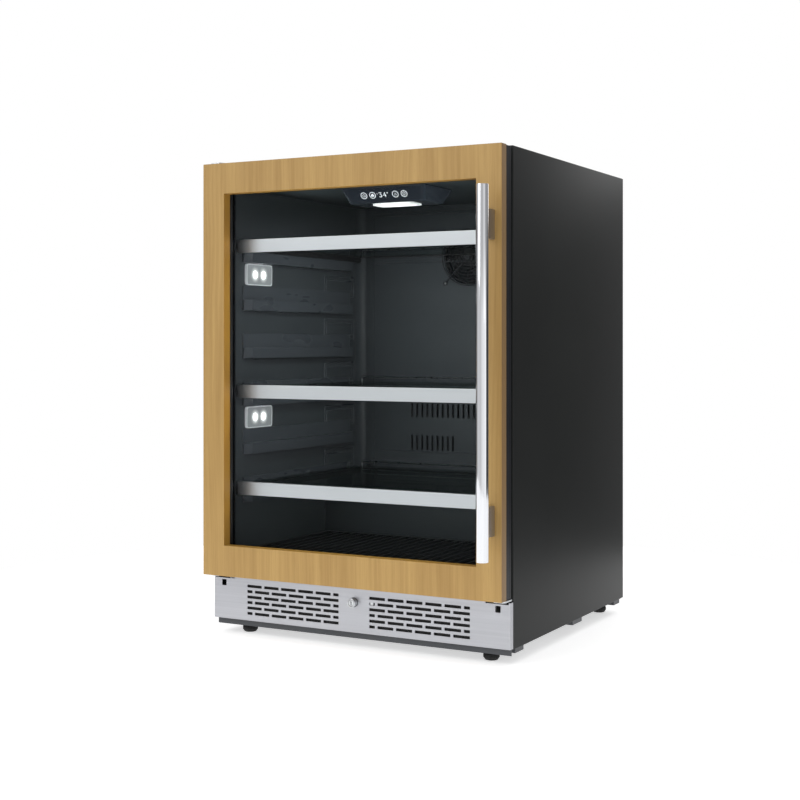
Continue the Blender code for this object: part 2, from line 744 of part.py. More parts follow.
def make_fan_guard():
    """Wire rings on four arms, whose ends are fixed to the duct cover."""
    y = COVER_FRONT - GUARD_STANDOFF
    wire = GUARD_ARM_W / 2
    reach = GUARD_REACH * math.sqrt(2)
    guard = cylinder("fan_guard", (0, y, FAN_Z), GUARD_HUB_R, GUARD_HUB_T, Y, BLACK_STEEL, 24)
    for index in range(4):
        arm = box("guard_arm_%d" % index, (GUARD_HUB_R / 3, -wire, -wire), (reach, wire, wire))
        foot = box("guard_foot_%d" % index, (reach - 4 * wire, 0, -2 * wire),
                   (reach - wire, GUARD_STANDOFF - GAP, 2 * wire))
        turn = Matrix.Translation((0, y, FAN_Z)) @ Matrix.Rotation((index + 0.5) * math.pi / 2, 4, "Y")
        for piece in (arm, foot):
            bpy.context.view_layer.update()
            piece.matrix_world = turn @ piece.matrix_world
            fuse(guard, piece)
    for index in range(RING_COUNT):
        radius = RING_FIRST_R + RING_PITCH * index
        fuse(guard, ring("guard_ring_%d" % index, radius, RING_WIRE_R, (0, y, FAN_Z), Y))


def ring(name, radius, wire, middle, axis, sides=24, wire_sides=4):
    """A wire ring, turned from a small round section."""
    section = []
    for index in range(wire_sides):
        angle = math.pi / 2 - 2 * math.pi * index / wire_sides
        section.append((radius + wire * math.cos(angle), wire * math.sin(angle)))
    return turned(name, section, middle, axis, None, sides)


def make_coils():
    low = HUMP_TOP + UPPER_VENT_RISE + UPPER_VENT_H / 2 + EVAPORATOR_RISE
    high = FAN_Z - FAN_SIZE / 2 - EVAPORATOR_DROP
    half = RECESS_HALF - EVAPORATOR_INSET
    front, back = RECESS_FRONT + EVAPORATOR_GAP, RECESS_BACK - EVAPORATOR_REAR
    evaporator = box("evaporator_coil", (-half, front, low), (half, back, high), FIN_METAL)
    cut_fins(evaporator, -half, half, (front, low), (back - FIN_SPINE, high), EVAPORATOR_FINS)
    low = BASE_TOP + CONDENSER_LIFT
    front, back = MACHINE_MID - CONDENSER_D / 2, MACHINE_MID + CONDENSER_D / 2
    end = CONDENSER_X + CONDENSER_W
    condenser = box(
        "condenser_coil", (CONDENSER_X, front, low), (end, back, low + CONDENSER_H), FIN_METAL)
    cut_fins(condenser, CONDENSER_X, end, (front, low), (back - FIN_SPINE, low + CONDENSER_H),
             CONDENSER_FINS)


def cut_fins(coil, x_low, x_high, low, high, count):
    """Slots that leave fins on a spine along the coil's back."""
    pitch = (x_high - x_low) / count
    cut(coil, blocks(coil.name + "_slots", [
        ((x_low + (i + FIN_SHARE[0]) * pitch, low[0] - FIN_SPINE, low[1] - FIN_SPINE),
         (x_low + (i + FIN_SHARE[1]) * pitch, high[0], high[1] + FIN_SPINE)) for i in range(count)]))


def make_compressor(floor):
    """A domed shell on a mounting plate with four feet."""
    radius, height = COMPRESSOR_R, COMPRESSOR_H
    compressor = turned("compressor", [
        (0, height), (0.60 * radius, height - 0.004), (0.88 * radius, height - 0.018),
        (radius, height - 0.042), (radius, 0.030), (0.83 * radius, 0.012), (0, 0.006)],
        (COMPRESSOR_X, MACHINE_MID, floor), Z, BLACK_STEEL, 28)
    left = COMPRESSOR_X - radius - MOUNT_SIDE
    right = COMPRESSOR_X + radius + MOUNT_INNER
    low = floor + COMPRESSOR_MOUNT_Z
    fuse(compressor, box("compressor_mount", (left, MACHINE_MID - MOUNT_HALF_D, low),
                         (right, MACHINE_MID + MOUNT_HALF_D, low + COMPRESSOR_MOUNT_T)))
    legs = []
    half = MOUNT_FOOT / 2
    for x in (left + MOUNT_FOOT_INSET, right - MOUNT_FOOT_INSET):
        for side in (-1, 1):
            y = MACHINE_MID + side * (MOUNT_HALF_D - MOUNT_FOOT_INSET)
            legs.append(((x - half, y - half, floor), (x + half, y + half, floor + COMPRESSOR_FOOT_H)))
    fuse(compressor, blocks("compressor_legs", legs))


def make_machine_room():
    floor = BASE_TOP + GAP
    make_compressor(floor)
    reach = COMPRESSOR_R - DRIP_TRAY_INSET
    tray("drip_tray", (COMPRESSOR_X - reach, MACHINE_MID - reach, floor + COMPRESSOR_H + DRIP_TRAY_LIFT),
         (COMPRESSOR_X + reach, MACHINE_MID + reach, MACHINE_TOP - SHEET - DRIP_TRAY_DROP),
         (Z,), DRIP_TRAY_T, BLACK_PLASTIC)
    make_fan("condenser", (CONDENSER_FAN_X, MACHINE_MID, floor + FAN_SIZE / 2 + 0.002), X)
    make_refrigerant_tube()
    make_inlet()


def make_refrigerant_tube():
    """From the compressor, behind the front of the machine room, to the condenser."""
    y = MACHINE_FRONT + TUBE_BEHIND
    shell_front = MACHINE_MID - COMPRESSOR_R * math.cos(math.asin(0.030 / COMPRESSOR_R))
    start = (COMPRESSOR_X + 0.030, shell_front - TUBE_R - 2 * GAP, 0.070)
    end_x = CONDENSER_X + CONDENSER_W / 2
    coil_front = MACHINE_MID - CONDENSER_D / 2
    tube("refrigerant_tube", [
        start, (COMPRESSOR_X + 0.060, y, 0.085), (COMPRESSOR_X + 0.080, y, TUBE_TOP - 0.015),
        (COMPRESSOR_X + 0.110, y, TUBE_TOP), (end_x - 0.035, y, TUBE_TOP),
        (end_x - 0.005, y, TUBE_TOP - 0.025), (end_x, coil_front - 1.5 * TUBE_R, 0.095)],
        TUBE_R, COPPER, smooth=True, roundness=2)


def make_inlet():
    x_mid = HALF - INLET_SIDE - INLET_W / 2
    inlet = box("power_inlet",
                (x_mid - INLET_W / 2, CASE_BACK - INLET_DEPTH, INLET_Z - INLET_H / 2),
                (x_mid + INLET_W / 2, CASE_BACK - GAP, INLET_Z + INLET_H / 2), BLACK_PLASTIC)
    cut(inlet, box("inlet_socket",
                   (x_mid - SOCKET_W / 2, CASE_BACK - SOCKET_DEPTH, INLET_Z - SOCKET_H / 2),
                   (x_mid + SOCKET_W / 2, CASE_BACK + SHEET, INLET_Z + SOCKET_H / 2)))


def make_sensor():
    end, neck = SENSOR_H / 2, SENSOR_H / 2 - SENSOR_TIP
    tip_r = 0.75 * SENSOR_R
    turned("temperature_sensor", [
        (0, end), (tip_r, (end + neck) / 2), (SENSOR_R, neck), (SENSOR_R, -neck),
        (tip_r, -(end + neck) / 2), (0, -end)],
        (SENSOR_X, COVER_FRONT - SENSOR_R - 2 * GAP, FAN_Z - SENSOR_DROP), Z, BLACK_PLASTIC, 14)


# ---------------------------------------------------------------- lights and controls
def make_side_lights():
    y = CASE_FRONT + LIGHT_SETBACK
    for row, level in (("upper", SHELF_LEVELS["upper"]), ("lower", SHELF_LEVELS["middle"])):
        z = level_top(level) - LIGHT_DROP
        for side_name, side in (("left", -1), ("right", 1)):
            wall = side * (LINER_HALF - GAP)
            ends = sorted((wall, wall - side * LIGHT_T))
            light = box("%s_light_%s" % (side_name, row),
                        (ends[0], y, z - LIGHT_HEIGHT / 2),
                        (ends[1], y + LIGHT_LENGTH, z + LIGHT_HEIGHT / 2), LENS)
            soften(light, LIGHT_EDGE, 1)


def make_control_housing():
    front = CASE_FRONT + HOUSING_SETBACK
    top, low = CEILING - GAP, CEILING - HOUSING_HEIGHT
    back = front + HOUSING_DEPTH
    housing = outline("control_housing", [
        (front, top), (front + HOUSING_FACE_RUN, low), (back, low), (back + HOUSING_TAIL, top)],
        HOUSING_HALF, BLACK_PLASTIC)
    middle = front + CEILING_LIGHT_BACK
    half, wide = LIGHT_LENGTH / 2, LIGHT_HEIGHT / 2
    recess = LIGHT_T - LIGHT_PROUD
    cut(housing, box("ceiling_light_recess", (-half - GAP, middle - wide - GAP, low - recess),
                     (half + GAP, middle + wide + GAP, low + recess + GAP)))
    light = box("ceiling_light", (-half, middle - wide, low + recess - LIGHT_T),
                (half, middle + wide, low + recess), LENS)
    soften(light, LIGHT_EDGE, 1)

    slope = math.atan2(HOUSING_FACE_RUN, top - low)
    face = Vector((0, front + HOUSING_FACE_RUN / 2, (top + low) / 2))
    out = Vector((0, -math.cos(slope), -math.sin(slope)))
    length = math.hypot(HOUSING_FACE_RUN, top - low)
    panel = box("control_panel", (-PANEL_HALF, -PANEL_T / 2, PANEL_MARGIN - length / 2),
                (PANEL_HALF, PANEL_T / 2, length / 2 - PANEL_MARGIN), GLASS)
    panel.location = face + out * (GAP + PANEL_T / 2)
    panel.rotation_euler = (slope, 0, 0)


# ---------------------------------------------------------------- shelves
def make_shelves():
    half = LINER_HALF - SHELF_SIDE
    back = COVER_FRONT - SHELF_BACK
    for name, level in SHELF_LEVELS.items():
        top = level_top(level)
        glass_top = top - GLASS_DROP
        under = glass_top - GLASS_T - GAP
        rest = top - LEDGE_DROP + GAP
        behind = TRIM_FRONT + TRIM_T + GAP
        trim = box(name + "_shelf_trim", (-half, TRIM_FRONT, top - TRIM_HEIGHT),
                   (half, TRIM_FRONT + TRIM_T, top), ALUMINIUM)
        fuse(trim, box(name + "_trim_lip", (-half, TRIM_FRONT + TRIM_T / 2, top - TRIM_T),
                       (half, TRIM_FRONT + TRIM_LIP, top)))
        frame = box(name + "_shelf_frame", (-half, behind, rest), (half, back, under), BLACK_PLASTIC)
        round_back_corners(frame, SHELF_CORNER, 2)
        cut(frame, box(name + "_frame_hole", (-half + RAIL_W, behind + RAIL_W, rest - RAIL_W),
                       (half - RAIL_W, back - RAIL_W, under + RAIL_W)))
        fuse(frame, box(name + "_backstop",
                        (SHELF_CORNER - half, back - RAIL_W / 2, rest + GAP),
                        (half - SHELF_CORNER, back - GAP, glass_top + BACKSTOP)))
        glass = box(name + "_shelf_glass", (-half, behind, glass_top - GLASS_T),
                    (half, back - RAIL_W / 2 - GAP, glass_top), GLASS)
        hang(axis_empty(name + "_shelf_axis", (0, TRIM_FRONT, top)), trim, frame, glass)


# ---------------------------------------------------------------- door
def make_door():
    empty = axis_empty("door_axis", PIVOT)
    wood = box("wood_overlay", (-HALF, WOOD_FRONT, DOOR_BOTTOM), (HALF, FRAME_FRONT - GAP, DOOR_TOP), WOOD)
    cut(wood, box("wood_window", (-WINDOW_X, WOOD_FRONT - WOOD_T, WINDOW_LOW),
                  (WINDOW_X, FRAME_FRONT + WOOD_T, WINDOW_HIGH)))

    side = HALF - FRAME_INSET
    frame = box("door_frame", (-side, FRAME_FRONT, DOOR_BOTTOM + FRAME_INSET),
                (side, DOOR_BACK, DOOR_TOP - FRAME_INSET), BLACK_STEEL)
    cut(frame, window_block("frame_window", FRAME_LIP, FRAME_FRONT - WOOD_T, DOOR_BACK + WOOD_T))
    pane_grow = FRAME_LIP + PANE_BITE
    pocket_back = DOOR_BACK - FRAME_BACK_LIP
    cut(frame, window_block("pane_pocket", pane_grow + GAP, FRAME_FRONT - WOOD_T, pocket_back))
    cut(frame, box("lock_pocket",
                   (-CAM_W, CAM_FRONT - CAM_CLEARANCE, DOOR_BOTTOM - RAIL / 2),
                   (POCKET_SIDE, DOOR_BACK + WOOD_T, LOCK_Z + CAM_LENGTH + CAM_CLEARANCE)))
    for name, end in (("top", DOOR_TOP - FRAME_INSET), ("bottom", DOOR_BOTTOM + FRAME_INSET)):
        hole = PIVOT.copy()
        hole.z = end
        cut(frame, cylinder(name + "_bush_hole", hole, BUSH_R + GAP, 2 * BUSH_LENGTH + 2 * GAP, sides=24))

    window_block("outer_glass", pane_grow, FRAME_FRONT, FRAME_FRONT + PANE_T, GLASS)
    inner_back = pocket_back - GAP
    window_block("inner_glass", pane_grow, inner_back - PANE_T, inner_back, GLASS)
    spacer = window_block("glass_spacer", pane_grow, FRAME_FRONT + PANE_T + GAP,
                          inner_back - PANE_T - GAP, BLACK_PLASTIC)
    cut(spacer, window_block("spacer_window", FRAME_LIP, FRAME_FRONT, DOOR_BACK))

    seal_low, seal_high = DOOR_BOTTOM + SEAL_INSET, DOOR_TOP - SEAL_INSET
    seal_x = HALF - SEAL_INSET
    seal = box("door_gasket", (-seal_x, DOOR_BACK + GAP, seal_low),
               (seal_x, CASE_FRONT - GAP, seal_high), RUBBER)
    cut(seal, box("gasket_window", (SEAL_W - seal_x, DOOR_BACK - SEAL_T, seal_low + SEAL_W),
                  (seal_x - SEAL_W, CASE_FRONT + SEAL_T, seal_high - SEAL_W)))
    make_handle()
    make_bushes()
    hang(empty, *[bpy.data.objects[name] for name in (
        "wood_overlay", "door_frame", "outer_glass", "inner_glass", "glass_spacer", "door_gasket",
        "handle_tube", "upper_handle_bracket", "lower_handle_bracket", "top_hinge_bush",
        "bottom_hinge_bush")])


def window_block(name, grow, front, back, finish=None):
    """A block as large as the wood's opening, grown all round."""
    return box(name, (-WINDOW_X - grow, front, WINDOW_LOW - grow),
               (WINDOW_X + grow, back, WINDOW_HIGH + grow), finish)


def make_handle():
    x, y = HALF - HANDLE_SIDE, WOOD_FRONT - HANDLE_STANDOFF
    low, high = DOOR_BOTTOM + HANDLE_INSET, DOOR_TOP - HANDLE_INSET
    tube("handle_tube", [(x, y, low), (x, y, high)], HANDLE_R, STAINLESS, roundness=6)
    for name, z in (("lower", DOOR_BOTTOM + BRACKET_INSET), ("upper", DOOR_TOP - BRACKET_INSET)):
        bracket = box(name + "_handle_bracket",
                      (x - BRACKET_W / 2, y + HANDLE_R / 2, z - BRACKET_H / 2),
                      (x + BRACKET_W / 2, WOOD_FRONT - GAP, z + BRACKET_H / 2), STAINLESS)
        cut(bracket, cylinder(name + "_bracket_saddle", (x, y, z), HANDLE_R + GAP, 2 * BRACKET_H))


def make_bushes():
    length = BUSH_LENGTH - GAP
    ring_profile = [(BUSH_R, length), (BUSH_R, 0), (PIN_R + GAP, 0), (PIN_R + GAP, length)]
    low = DOOR_BOTTOM + FRAME_INSET
    turned("bottom_hinge_bush", ring_profile, (PIVOT.x, PIVOT.y, low), Z, BLACK_PLASTIC, 24)
    high = DOOR_TOP - FRAME_INSET - length
    turned("top_hinge_bush", ring_profile, (PIVOT.x, PIVOT.y, high), Z, BLACK_PLASTIC, 24)


def make_hinges():
    pin_length = BUSH_LENGTH + HINGE_T
    left = HINGE_SIDE - HALF
    nose = PIVOT.y - HINGE_NOSE
    low = HEIGHT + GAP
    top = box("top_hinge", (left, nose, low),
              (left + TOP_HINGE_W, CASE_FRONT + TOP_HINGE_BACK, low + HINGE_T), ZINC)
    fuse(top, cylinder("top_pin", (PIVOT.x, PIVOT.y, low + HINGE_T / 2 - pin_length / 2 + GAP), PIN_R,
                       pin_length - 2 * GAP, sides=24))
    high = DOOR_BOTTOM - HINGE_BELOW
    leg_front = CASE_FRONT - GAP - HINGE_T
    for name, side in (("bottom_hinge", -1), ("spare_hinge", 1)):
        ends = sorted((side * (HALF - HINGE_SIDE), side * (HALF - HINGE_SIDE - HINGE_W)))
        plate = box(name, (ends[0], nose, high - HINGE_T), (ends[1], CASE_FRONT - GAP, high), ZINC)
        fuse(plate, box(name + "_leg", (ends[0], leg_front, high - HINGE_LEG),
                        (ends[1], CASE_FRONT - GAP, high - HINGE_T / 2)))
        if side < 0:
            fuse(plate, cylinder("bottom_pin", (PIVOT.x, PIVOT.y, high - HINGE_T / 2 + pin_length / 2 - GAP),
                                 PIN_R, pin_length - 2 * GAP, sides=24))


# ---------------------------------------------------------------- kick plate and lock
def slot_blocks():
    """Six rows of slots each side of the lock, each row starting with a long or a short one."""
    y_low, y_high = KICK_FACE - KICK_T, KICK_FACE + 3 * KICK_T
    group = HALF - SLOT_MARGIN - SLOT_INNER
    long_slot = (group - SLOT_SHORT - SLOT_LONG_COUNT * SLOT_BRIDGE) / SLOT_LONG_COUNT
    found = []
    for start in (SLOT_MARGIN - HALF, SLOT_INNER):
        for row in range(SLOT_ROWS):
            z = KICK_TOP - SLOT_TOP - SLOT_H - row * SLOT_PITCH
            lengths = [long_slot] * SLOT_LONG_COUNT
            lengths.insert(SLOT_LONG_COUNT if row % 2 == 0 else 0, SLOT_SHORT)
            x = start
            for length in lengths:
                found.append(((x, y_low, z), (x + length, y_high, z + SLOT_H)))
                x += length + SLOT_BRIDGE
    return found


def make_kick_plate():
    plate = tray("kick_plate", (-HALF, KICK_FACE, KICK_BOTTOM), (HALF, CASE_FRONT - GAP, KICK_TOP),
                 (Y, Z, -Z), KICK_T, STAINLESS)
    cut(plate, blocks("kick_slots", slot_blocks()))
    mark_top = KICK_TOP - 2 * NOTCH_H
    marks = []
    for side in (-1, 1):
        for inset, width, low, high in (
                (NOTCH_SIDE, NOTCH_W, KICK_TOP - NOTCH_H, KICK_TOP + NOTCH_H),
                (MARK_SIDE, MARK_W, mark_top - MARK_H, mark_top)):
            ends = sorted((side * (HALF - inset - width), side * (HALF - inset)))
            marks.append(((ends[0], KICK_FACE - KICK_T, low), (ends[1], KICK_FACE + 2 * KICK_T, high)))
    cut(plate, blocks("kick_notches", marks))
    cut(plate, cylinder("lock_hole", (0, KICK_FACE, LOCK_Z), LOCK_R + GAP, 10 * KICK_T, Y))


def make_lock():
    front = KICK_FACE - LOCK_REACH
    back = KICK_FACE + KICK_T
    length = back - front
    turned("lock_barrel", [
        (LOCK_R, length), (LOCK_R, LOCK_RIM), (LOCK_R - LOCK_RIM, 0), (PLUG_R + GAP, 0),
        (PLUG_R + GAP, length)], (0, front, LOCK_Z), Y, ZINC, 32)
    plug_end = CAM_FRONT - GAP
    plug = cylinder("lock_plug", (0, (front + plug_end) / 2, LOCK_Z), PLUG_R, plug_end - front, Y, ZINC, 28)
    cut(plug, box("key_slot", (-KEY_SLOT_W / 2, front - KEY_SLOT_W, LOCK_Z - KEY_SLOT_H / 2),
                  (KEY_SLOT_W / 2, front + KEY_SLOT_DEPTH, LOCK_Z + KEY_SLOT_H / 2)))
    cam = box("lock_cam", (-CAM_W / 2, CAM_FRONT, LOCK_Z - CAM_W / 2),
              (CAM_LENGTH, CAM_FRONT + CAM_T, LOCK_Z + CAM_W / 2), ZINC)
    hang(axis_empty("lock_axis", (0, front, LOCK_Z)), plug, cam)


def main():
    make_case()
    make_back()
    make_machine_panel()
    make_foam()
    make_liner()
    make_base()
    make_feet()
    make_floor_rack()
    make_duct_cover()
    make_fan_guard()
    make_fan("evaporator", (0, RECESS_FRONT + FAN_BEHIND_COVER + FAN_DEPTH / 2, FAN_Z), Y)
    make_coils()
    make_machine_room()
    make_sensor()
    make_side_lights()
    make_control_housing()
    make_shelves()
    make_door()
    make_hinges()
    make_kick_plate()
    make_lock()
    bpy.context.view_layer.update()


main()
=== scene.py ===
import json
import math

import bmesh
import bpy
from mathutils import Matrix, Vector


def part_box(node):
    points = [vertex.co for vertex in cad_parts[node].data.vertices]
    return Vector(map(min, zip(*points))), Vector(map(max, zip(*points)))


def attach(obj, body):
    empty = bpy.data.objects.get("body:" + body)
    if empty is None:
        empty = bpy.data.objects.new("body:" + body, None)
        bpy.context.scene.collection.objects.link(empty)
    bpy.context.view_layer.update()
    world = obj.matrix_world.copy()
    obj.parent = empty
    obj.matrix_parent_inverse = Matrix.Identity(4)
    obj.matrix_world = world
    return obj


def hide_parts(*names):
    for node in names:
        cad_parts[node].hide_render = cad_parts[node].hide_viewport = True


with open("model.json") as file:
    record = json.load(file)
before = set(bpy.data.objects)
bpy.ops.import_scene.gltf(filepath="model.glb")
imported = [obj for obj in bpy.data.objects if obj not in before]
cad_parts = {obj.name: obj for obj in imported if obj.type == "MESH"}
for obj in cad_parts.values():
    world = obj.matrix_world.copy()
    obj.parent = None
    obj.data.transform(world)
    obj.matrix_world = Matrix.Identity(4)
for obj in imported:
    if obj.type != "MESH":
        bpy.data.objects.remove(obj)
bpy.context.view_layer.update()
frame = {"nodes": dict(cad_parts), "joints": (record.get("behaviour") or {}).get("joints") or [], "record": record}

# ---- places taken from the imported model, in metres
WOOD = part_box("wood_overlay")
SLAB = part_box("door_frame")
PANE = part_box("outer_glass")
INNER_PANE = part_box("inner_glass")
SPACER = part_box("glass_spacer")
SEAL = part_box("door_gasket")
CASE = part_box("outer_case")
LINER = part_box("inner_liner")
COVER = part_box("rear_duct_cover")
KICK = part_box("kick_plate")
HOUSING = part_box("control_housing")
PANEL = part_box("control_panel")
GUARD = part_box("fan_guard")
JOINTS = {joint["name"]: joint for joint in frame["joints"]}
SHELVES = ("upper", "middle", "lower")

# ---- sizes of the finer shapes
HAIR = 0.0003            # kept between neighbours
SHEET = 0.001
PANE_BITE = 0.0128       # glass behind the wooden frame
SLAB_LIP = 0.0035        # slab's opening outside the wood's opening
LINER_WALL = 0.0015
CORNER_R = 0.02          # upright back corners of the liner
FOLD_R = 0.0016          # folded edges of the case
SPOT_APART = 0.0136      # a side lamp's spots from its middle


# ---------------------------------------------------------------- finishes
class Socket:
    """An output in a material's nodes. Arithmetic on it adds Math nodes."""

    def __init__(self, tree, output=None):
        self.tree, self.output = tree, output

    def node(self, kind, settings, inputs, output=0):
        """Add a node with its settings and the value or link of each socket; gives one output."""
        made = self.tree.nodes.new("ShaderNode" + kind)
        for name, value in settings.items():
            if name == "stops":
                set_stops(made.color_ramp, value)
            else:
                setattr(made, name, value)
        for name, value in inputs.items():
            if isinstance(value, Socket):
                self.tree.links.new(value.output, made.inputs[name])
            else:
                made.inputs[name].default_value = value
        return Socket(self.tree, made.outputs[output]) if made.outputs else None

    def math(self, operation, *values):
        return self.node("Math", {"operation": operation}, dict(enumerate(values)))

    def __add__(self, other):
        return self.math("ADD", self, other)

    def __sub__(self, other):
        return self.math("SUBTRACT", self, other)

    def __abs__(self):
        return self.math("ABSOLUTE", self)

    def __rsub__(self, other):
        return self.math("SUBTRACT", other, self)

    def __mul__(self, other):
        return self.math("MULTIPLY", self, other)

    __radd__ = __add__
    __rmul__ = __mul__

    def stretched(self, x, y, z):
        """These coordinates, scaled along each axis."""
        return self.node("Mapping", {}, {"Vector": self, "Scale": (x, y, z)})

    def noise(self, scale, detail=2.0, rough=0.5):
        return self.node("TexNoise", {}, {
            "Vector": self, "Scale": scale, "Detail": detail, "Roughness": rough})

    def between(self, low, high, start=0.0, end=1.0):
        """This value, taken from low..high to start..end and held there."""
        return self.node("MapRange", {}, {0: self, 1: low, 2: high, 3: start, 4: end})

    def tint(self, first, second):
        """A colour between two others, by this value."""
        return self.node("Mix", {"data_type": "RGBA"}, {0: self, 6: first, 7: second}, 2)

    def bump(self, strength, distance):
        return self.node("Bump", {}, {"Height": self, "Strength": strength, "Distance": distance})

    def axis(self, letter):
        return self.node("SeparateXYZ", {}, {0: self}, letter)


def set_stops(ramp, stops):
    while len(ramp.elements) > 1:
        ramp.elements.remove(ramp.elements[-1])
    ramp.elements[0].position, ramp.elements[0].color = stops[0]
    for position, tone in stops[1:]:
        ramp.elements.new(position).color = tone


def rgb(red, green, blue):
    return (red, green, blue, 1.0)


def start(name):
    """A new material with nothing but object coordinates: the material and the coordinates."""
    made = bpy.data.materials.new(name)
    made.use_nodes = True
    made.node_tree.nodes.clear()
    return made, Socket(made.node_tree).node("TexCoord", {}, {}, "Object")


def end(made, shader):
    shader.node("OutputMaterial", {}, {"Surface": shader})
    return made


def surface(made, place, **sockets):
    """Finish a material with one Principled shader. Socket names use _ for a space."""
    return end(made, place.node(
        "BsdfPrincipled", {}, {name.replace("_", " "): value for name, value in sockets.items()}))


def timber(name, pale, deep, reveal_shade, edge):
    """Upright grain: broad figure, narrow streaks and short dark pores; the edges (side faces) are darker with
    painted shade.
    """
    made, place = start(name)
    drift = place.stretched(2.2, 2.2, 0.9).noise(2.0, 2.0)
    across = place.axis("X") + drift * 0.035 + place.axis("Y") * 0.6
    grain = place.node("CombineXYZ", {}, {0: across, 1: place.axis("Y"), 2: place.axis("Z")})
    figure = grain.stretched(26, 4, 1.5).noise(1.0, 3.0, 0.55)
    streak = grain.stretched(210, 60, 3.2).noise(1.0, 5.0, 0.62)
    fibre = grain.stretched(900, 500, 26).noise(1.0, 3.0, 0.6)
    pores = grain.stretched(1150, 900, 38).noise(1.0, 1.0).between(0.63, 0.74)
    tone = figure.between(0.3, 0.7) * 0.42 + streak.between(0.28, 0.72) * 0.38 + fibre * 0.3
    body = tone.between(0.22, 0.88).tint(pale, deep)
    # Painted shade: faces that do not face the front take darker tones, one round the opening's reveal and a
    # deeper one at the outer sides.
    facing = place.node("TexCoord", {}, {}, "Normal").axis("Y")
    side = 1 - abs(facing).between(0.35, 0.8)
    outer = abs(place.axis("X")).between(0.265, 0.275)
    toned = (side * 0.88).tint(body, outer.tint(reveal_shade, edge))
    darker = (pores * 0.5).tint(toned, deep)
    height = streak * 0.5 + fibre * 0.35 - pores * 0.5
    return surface(
        made, place, Base_Color=darker, Roughness=streak.between(0.2, 0.8, 0.42, 0.56),
        Coat_Weight=0.1, Coat_Roughness=0.35, Normal=height.bump(0.2, 0.0004))


def painted(name, tone, shade, roughness, gloss=0.5, peel=0.02):
    """Powder-coated sheet with a faint orange peel and slow drifts of tone."""
    made, place = start(name)
    slow = place.noise(5.0, 3.0)
    fine = place.noise(240.0, 2.0)
    return surface(
        made, place, Base_Color=slow.between(0.3, 0.7).tint(tone, shade),
        Roughness=slow.between(0.3, 0.7, roughness - 0.012, roughness + 0.012),
        Specular_IOR_Level=gloss, Normal=fine.bump(peel, 0.0002))


def moulded(name, tone, shade, roughness, grain=0.012, coat=0.0, gloss=0.5):
    """Moulded plastic with a fine etched grain and faint flow marks."""
    made, place = start(name)
    flow = place.stretched(3, 3, 9).noise(2.0, 3.0)
    etched = place.noise(520.0, 1.0)
    return surface(
        made, place, Base_Color=flow.between(0.3, 0.7).tint(tone, shade),
        Roughness=flow.between(0.25, 0.75, roughness - 0.03, roughness + 0.04),
        Coat_Weight=coat, Coat_Roughness=0.08, Specular_IOR_Level=gloss,
        Normal=etched.bump(grain, 0.0002))


def brushed(name, tone, shade, roughness, along, streaks=0.12):
    """Brushed metal: hairlines along one axis, in tone, gloss and relief."""
    made, place = start(name)
    fine = [1500.0, 1500.0, 1500.0]
    broad = [240.0, 240.0, 240.0]
    fine["XYZ".index(along)] = 9.0
    broad["XYZ".index(along)] = 1.6
    hair = place.stretched(*fine).noise(1.0, 3.0, 0.6)
    band = place.stretched(*broad).noise(1.0, 3.0, 0.55)
    cloud = place.noise(7.0, 2.0)
    mix = hair * 0.45 + band * 0.35 + cloud * 0.2
    return surface(
        made, place, Metallic=1.0, Base_Color=mix.between(0.3, 0.7).tint(tone, shade),
        Roughness=(hair * 0.6 + band * 0.4).between(0.3, 0.7, roughness - 0.05, roughness + 0.08),
        Normal=hair.bump(streaks, 0.0002))


def plated(name, tone, shade, roughness):
    """Zinc-plated or cast metal with a faint mottle."""
    made, place = start(name)
    mottle = place.noise(160.0, 3.0, 0.6)
    grit = place.noise(1400.0, 2.0)
    return surface(
        made, place, Metallic=1.0, Base_Color=mottle.between(0.35, 0.65).tint(tone, shade),
        Roughness=mottle.between(0.3, 0.7, roughness - 0.06, roughness + 0.08),
        Normal=grit.bump(0.08, 0.0002))


def rubbery(name, tone, shade):
    made, place = start(name)
    dust = place.noise(120.0, 4.0, 0.65)
    return surface(
        made, place, Base_Color=dust.between(0.45, 0.75).tint(tone, shade),
        Roughness=dust.between(0.3, 0.7, 0.6, 0.78),
        Normal=place.noise(900.0, 2.0).bump(0.15, 0.0003))


def clear_glass(name, tint, mirror, rim_mirror, gloss):
    """Flat glass: what is behind it shows, tinted, under a mirror that grows towards the rim."""
    made, place = start(name)
    rim = place.node("LayerWeight", {}, {"Blend": 0.35}, "Fresnel")
    smear = place.noise(9.0, 3.0).between(0.4, 0.8)
    through = place.node("BsdfTransparent", {}, {"Color": tint})
    shine = place.node("BsdfGlossy", {}, {
        "Color": rgb(1, 1, 1), "Roughness": smear.between(0.0, 1.0, gloss, gloss + 0.03)})
    share = rim.between(0.0, 1.0, mirror, rim_mirror)
    return end(made, place.node("MixShader", {}, {0: share, 1: through, 2: shine}))


def glowing(name, tone, strength, dim=0.85):
    """A lit face, a little uneven."""
    made, place = start(name)
    uneven = place.noise(300.0, 2.0).between(0.3, 0.7, dim, 1.0)
    toned = uneven.tint(rgb(tone[0] * dim, tone[1] * dim, tone[2] * dim), tone)
    return surface(
        made, place, Base_Color=rgb(0.8, 0.8, 0.8), Roughness=0.3,
        Emission_Color=toned, Emission_Strength=strength)


def lit_by(made, place, level, tone):
    """Finish a material with a white glow of a level that varies."""
    glow = place.node("CombineXYZ", {}, {0: level, 1: level, 2: level})
    return surface(made, place, Base_Color=tone, Roughness=0.3, Emission_Color=glow,
                   Emission_Strength=1.0)


def glowing_strip(name, even, end_at):
    """A long lamp, bright in the middle and fading towards its ends."""
    made, place = start(name)
    level = abs(place.axis("X")).between(even, end_at, 1.5, 0.35)
    return lit_by(made, place, level * place.noise(200.0, 1.0).between(0.2, 0.8, 0.9, 1.0),
                  rgb(0.8, 0.8, 0.8))


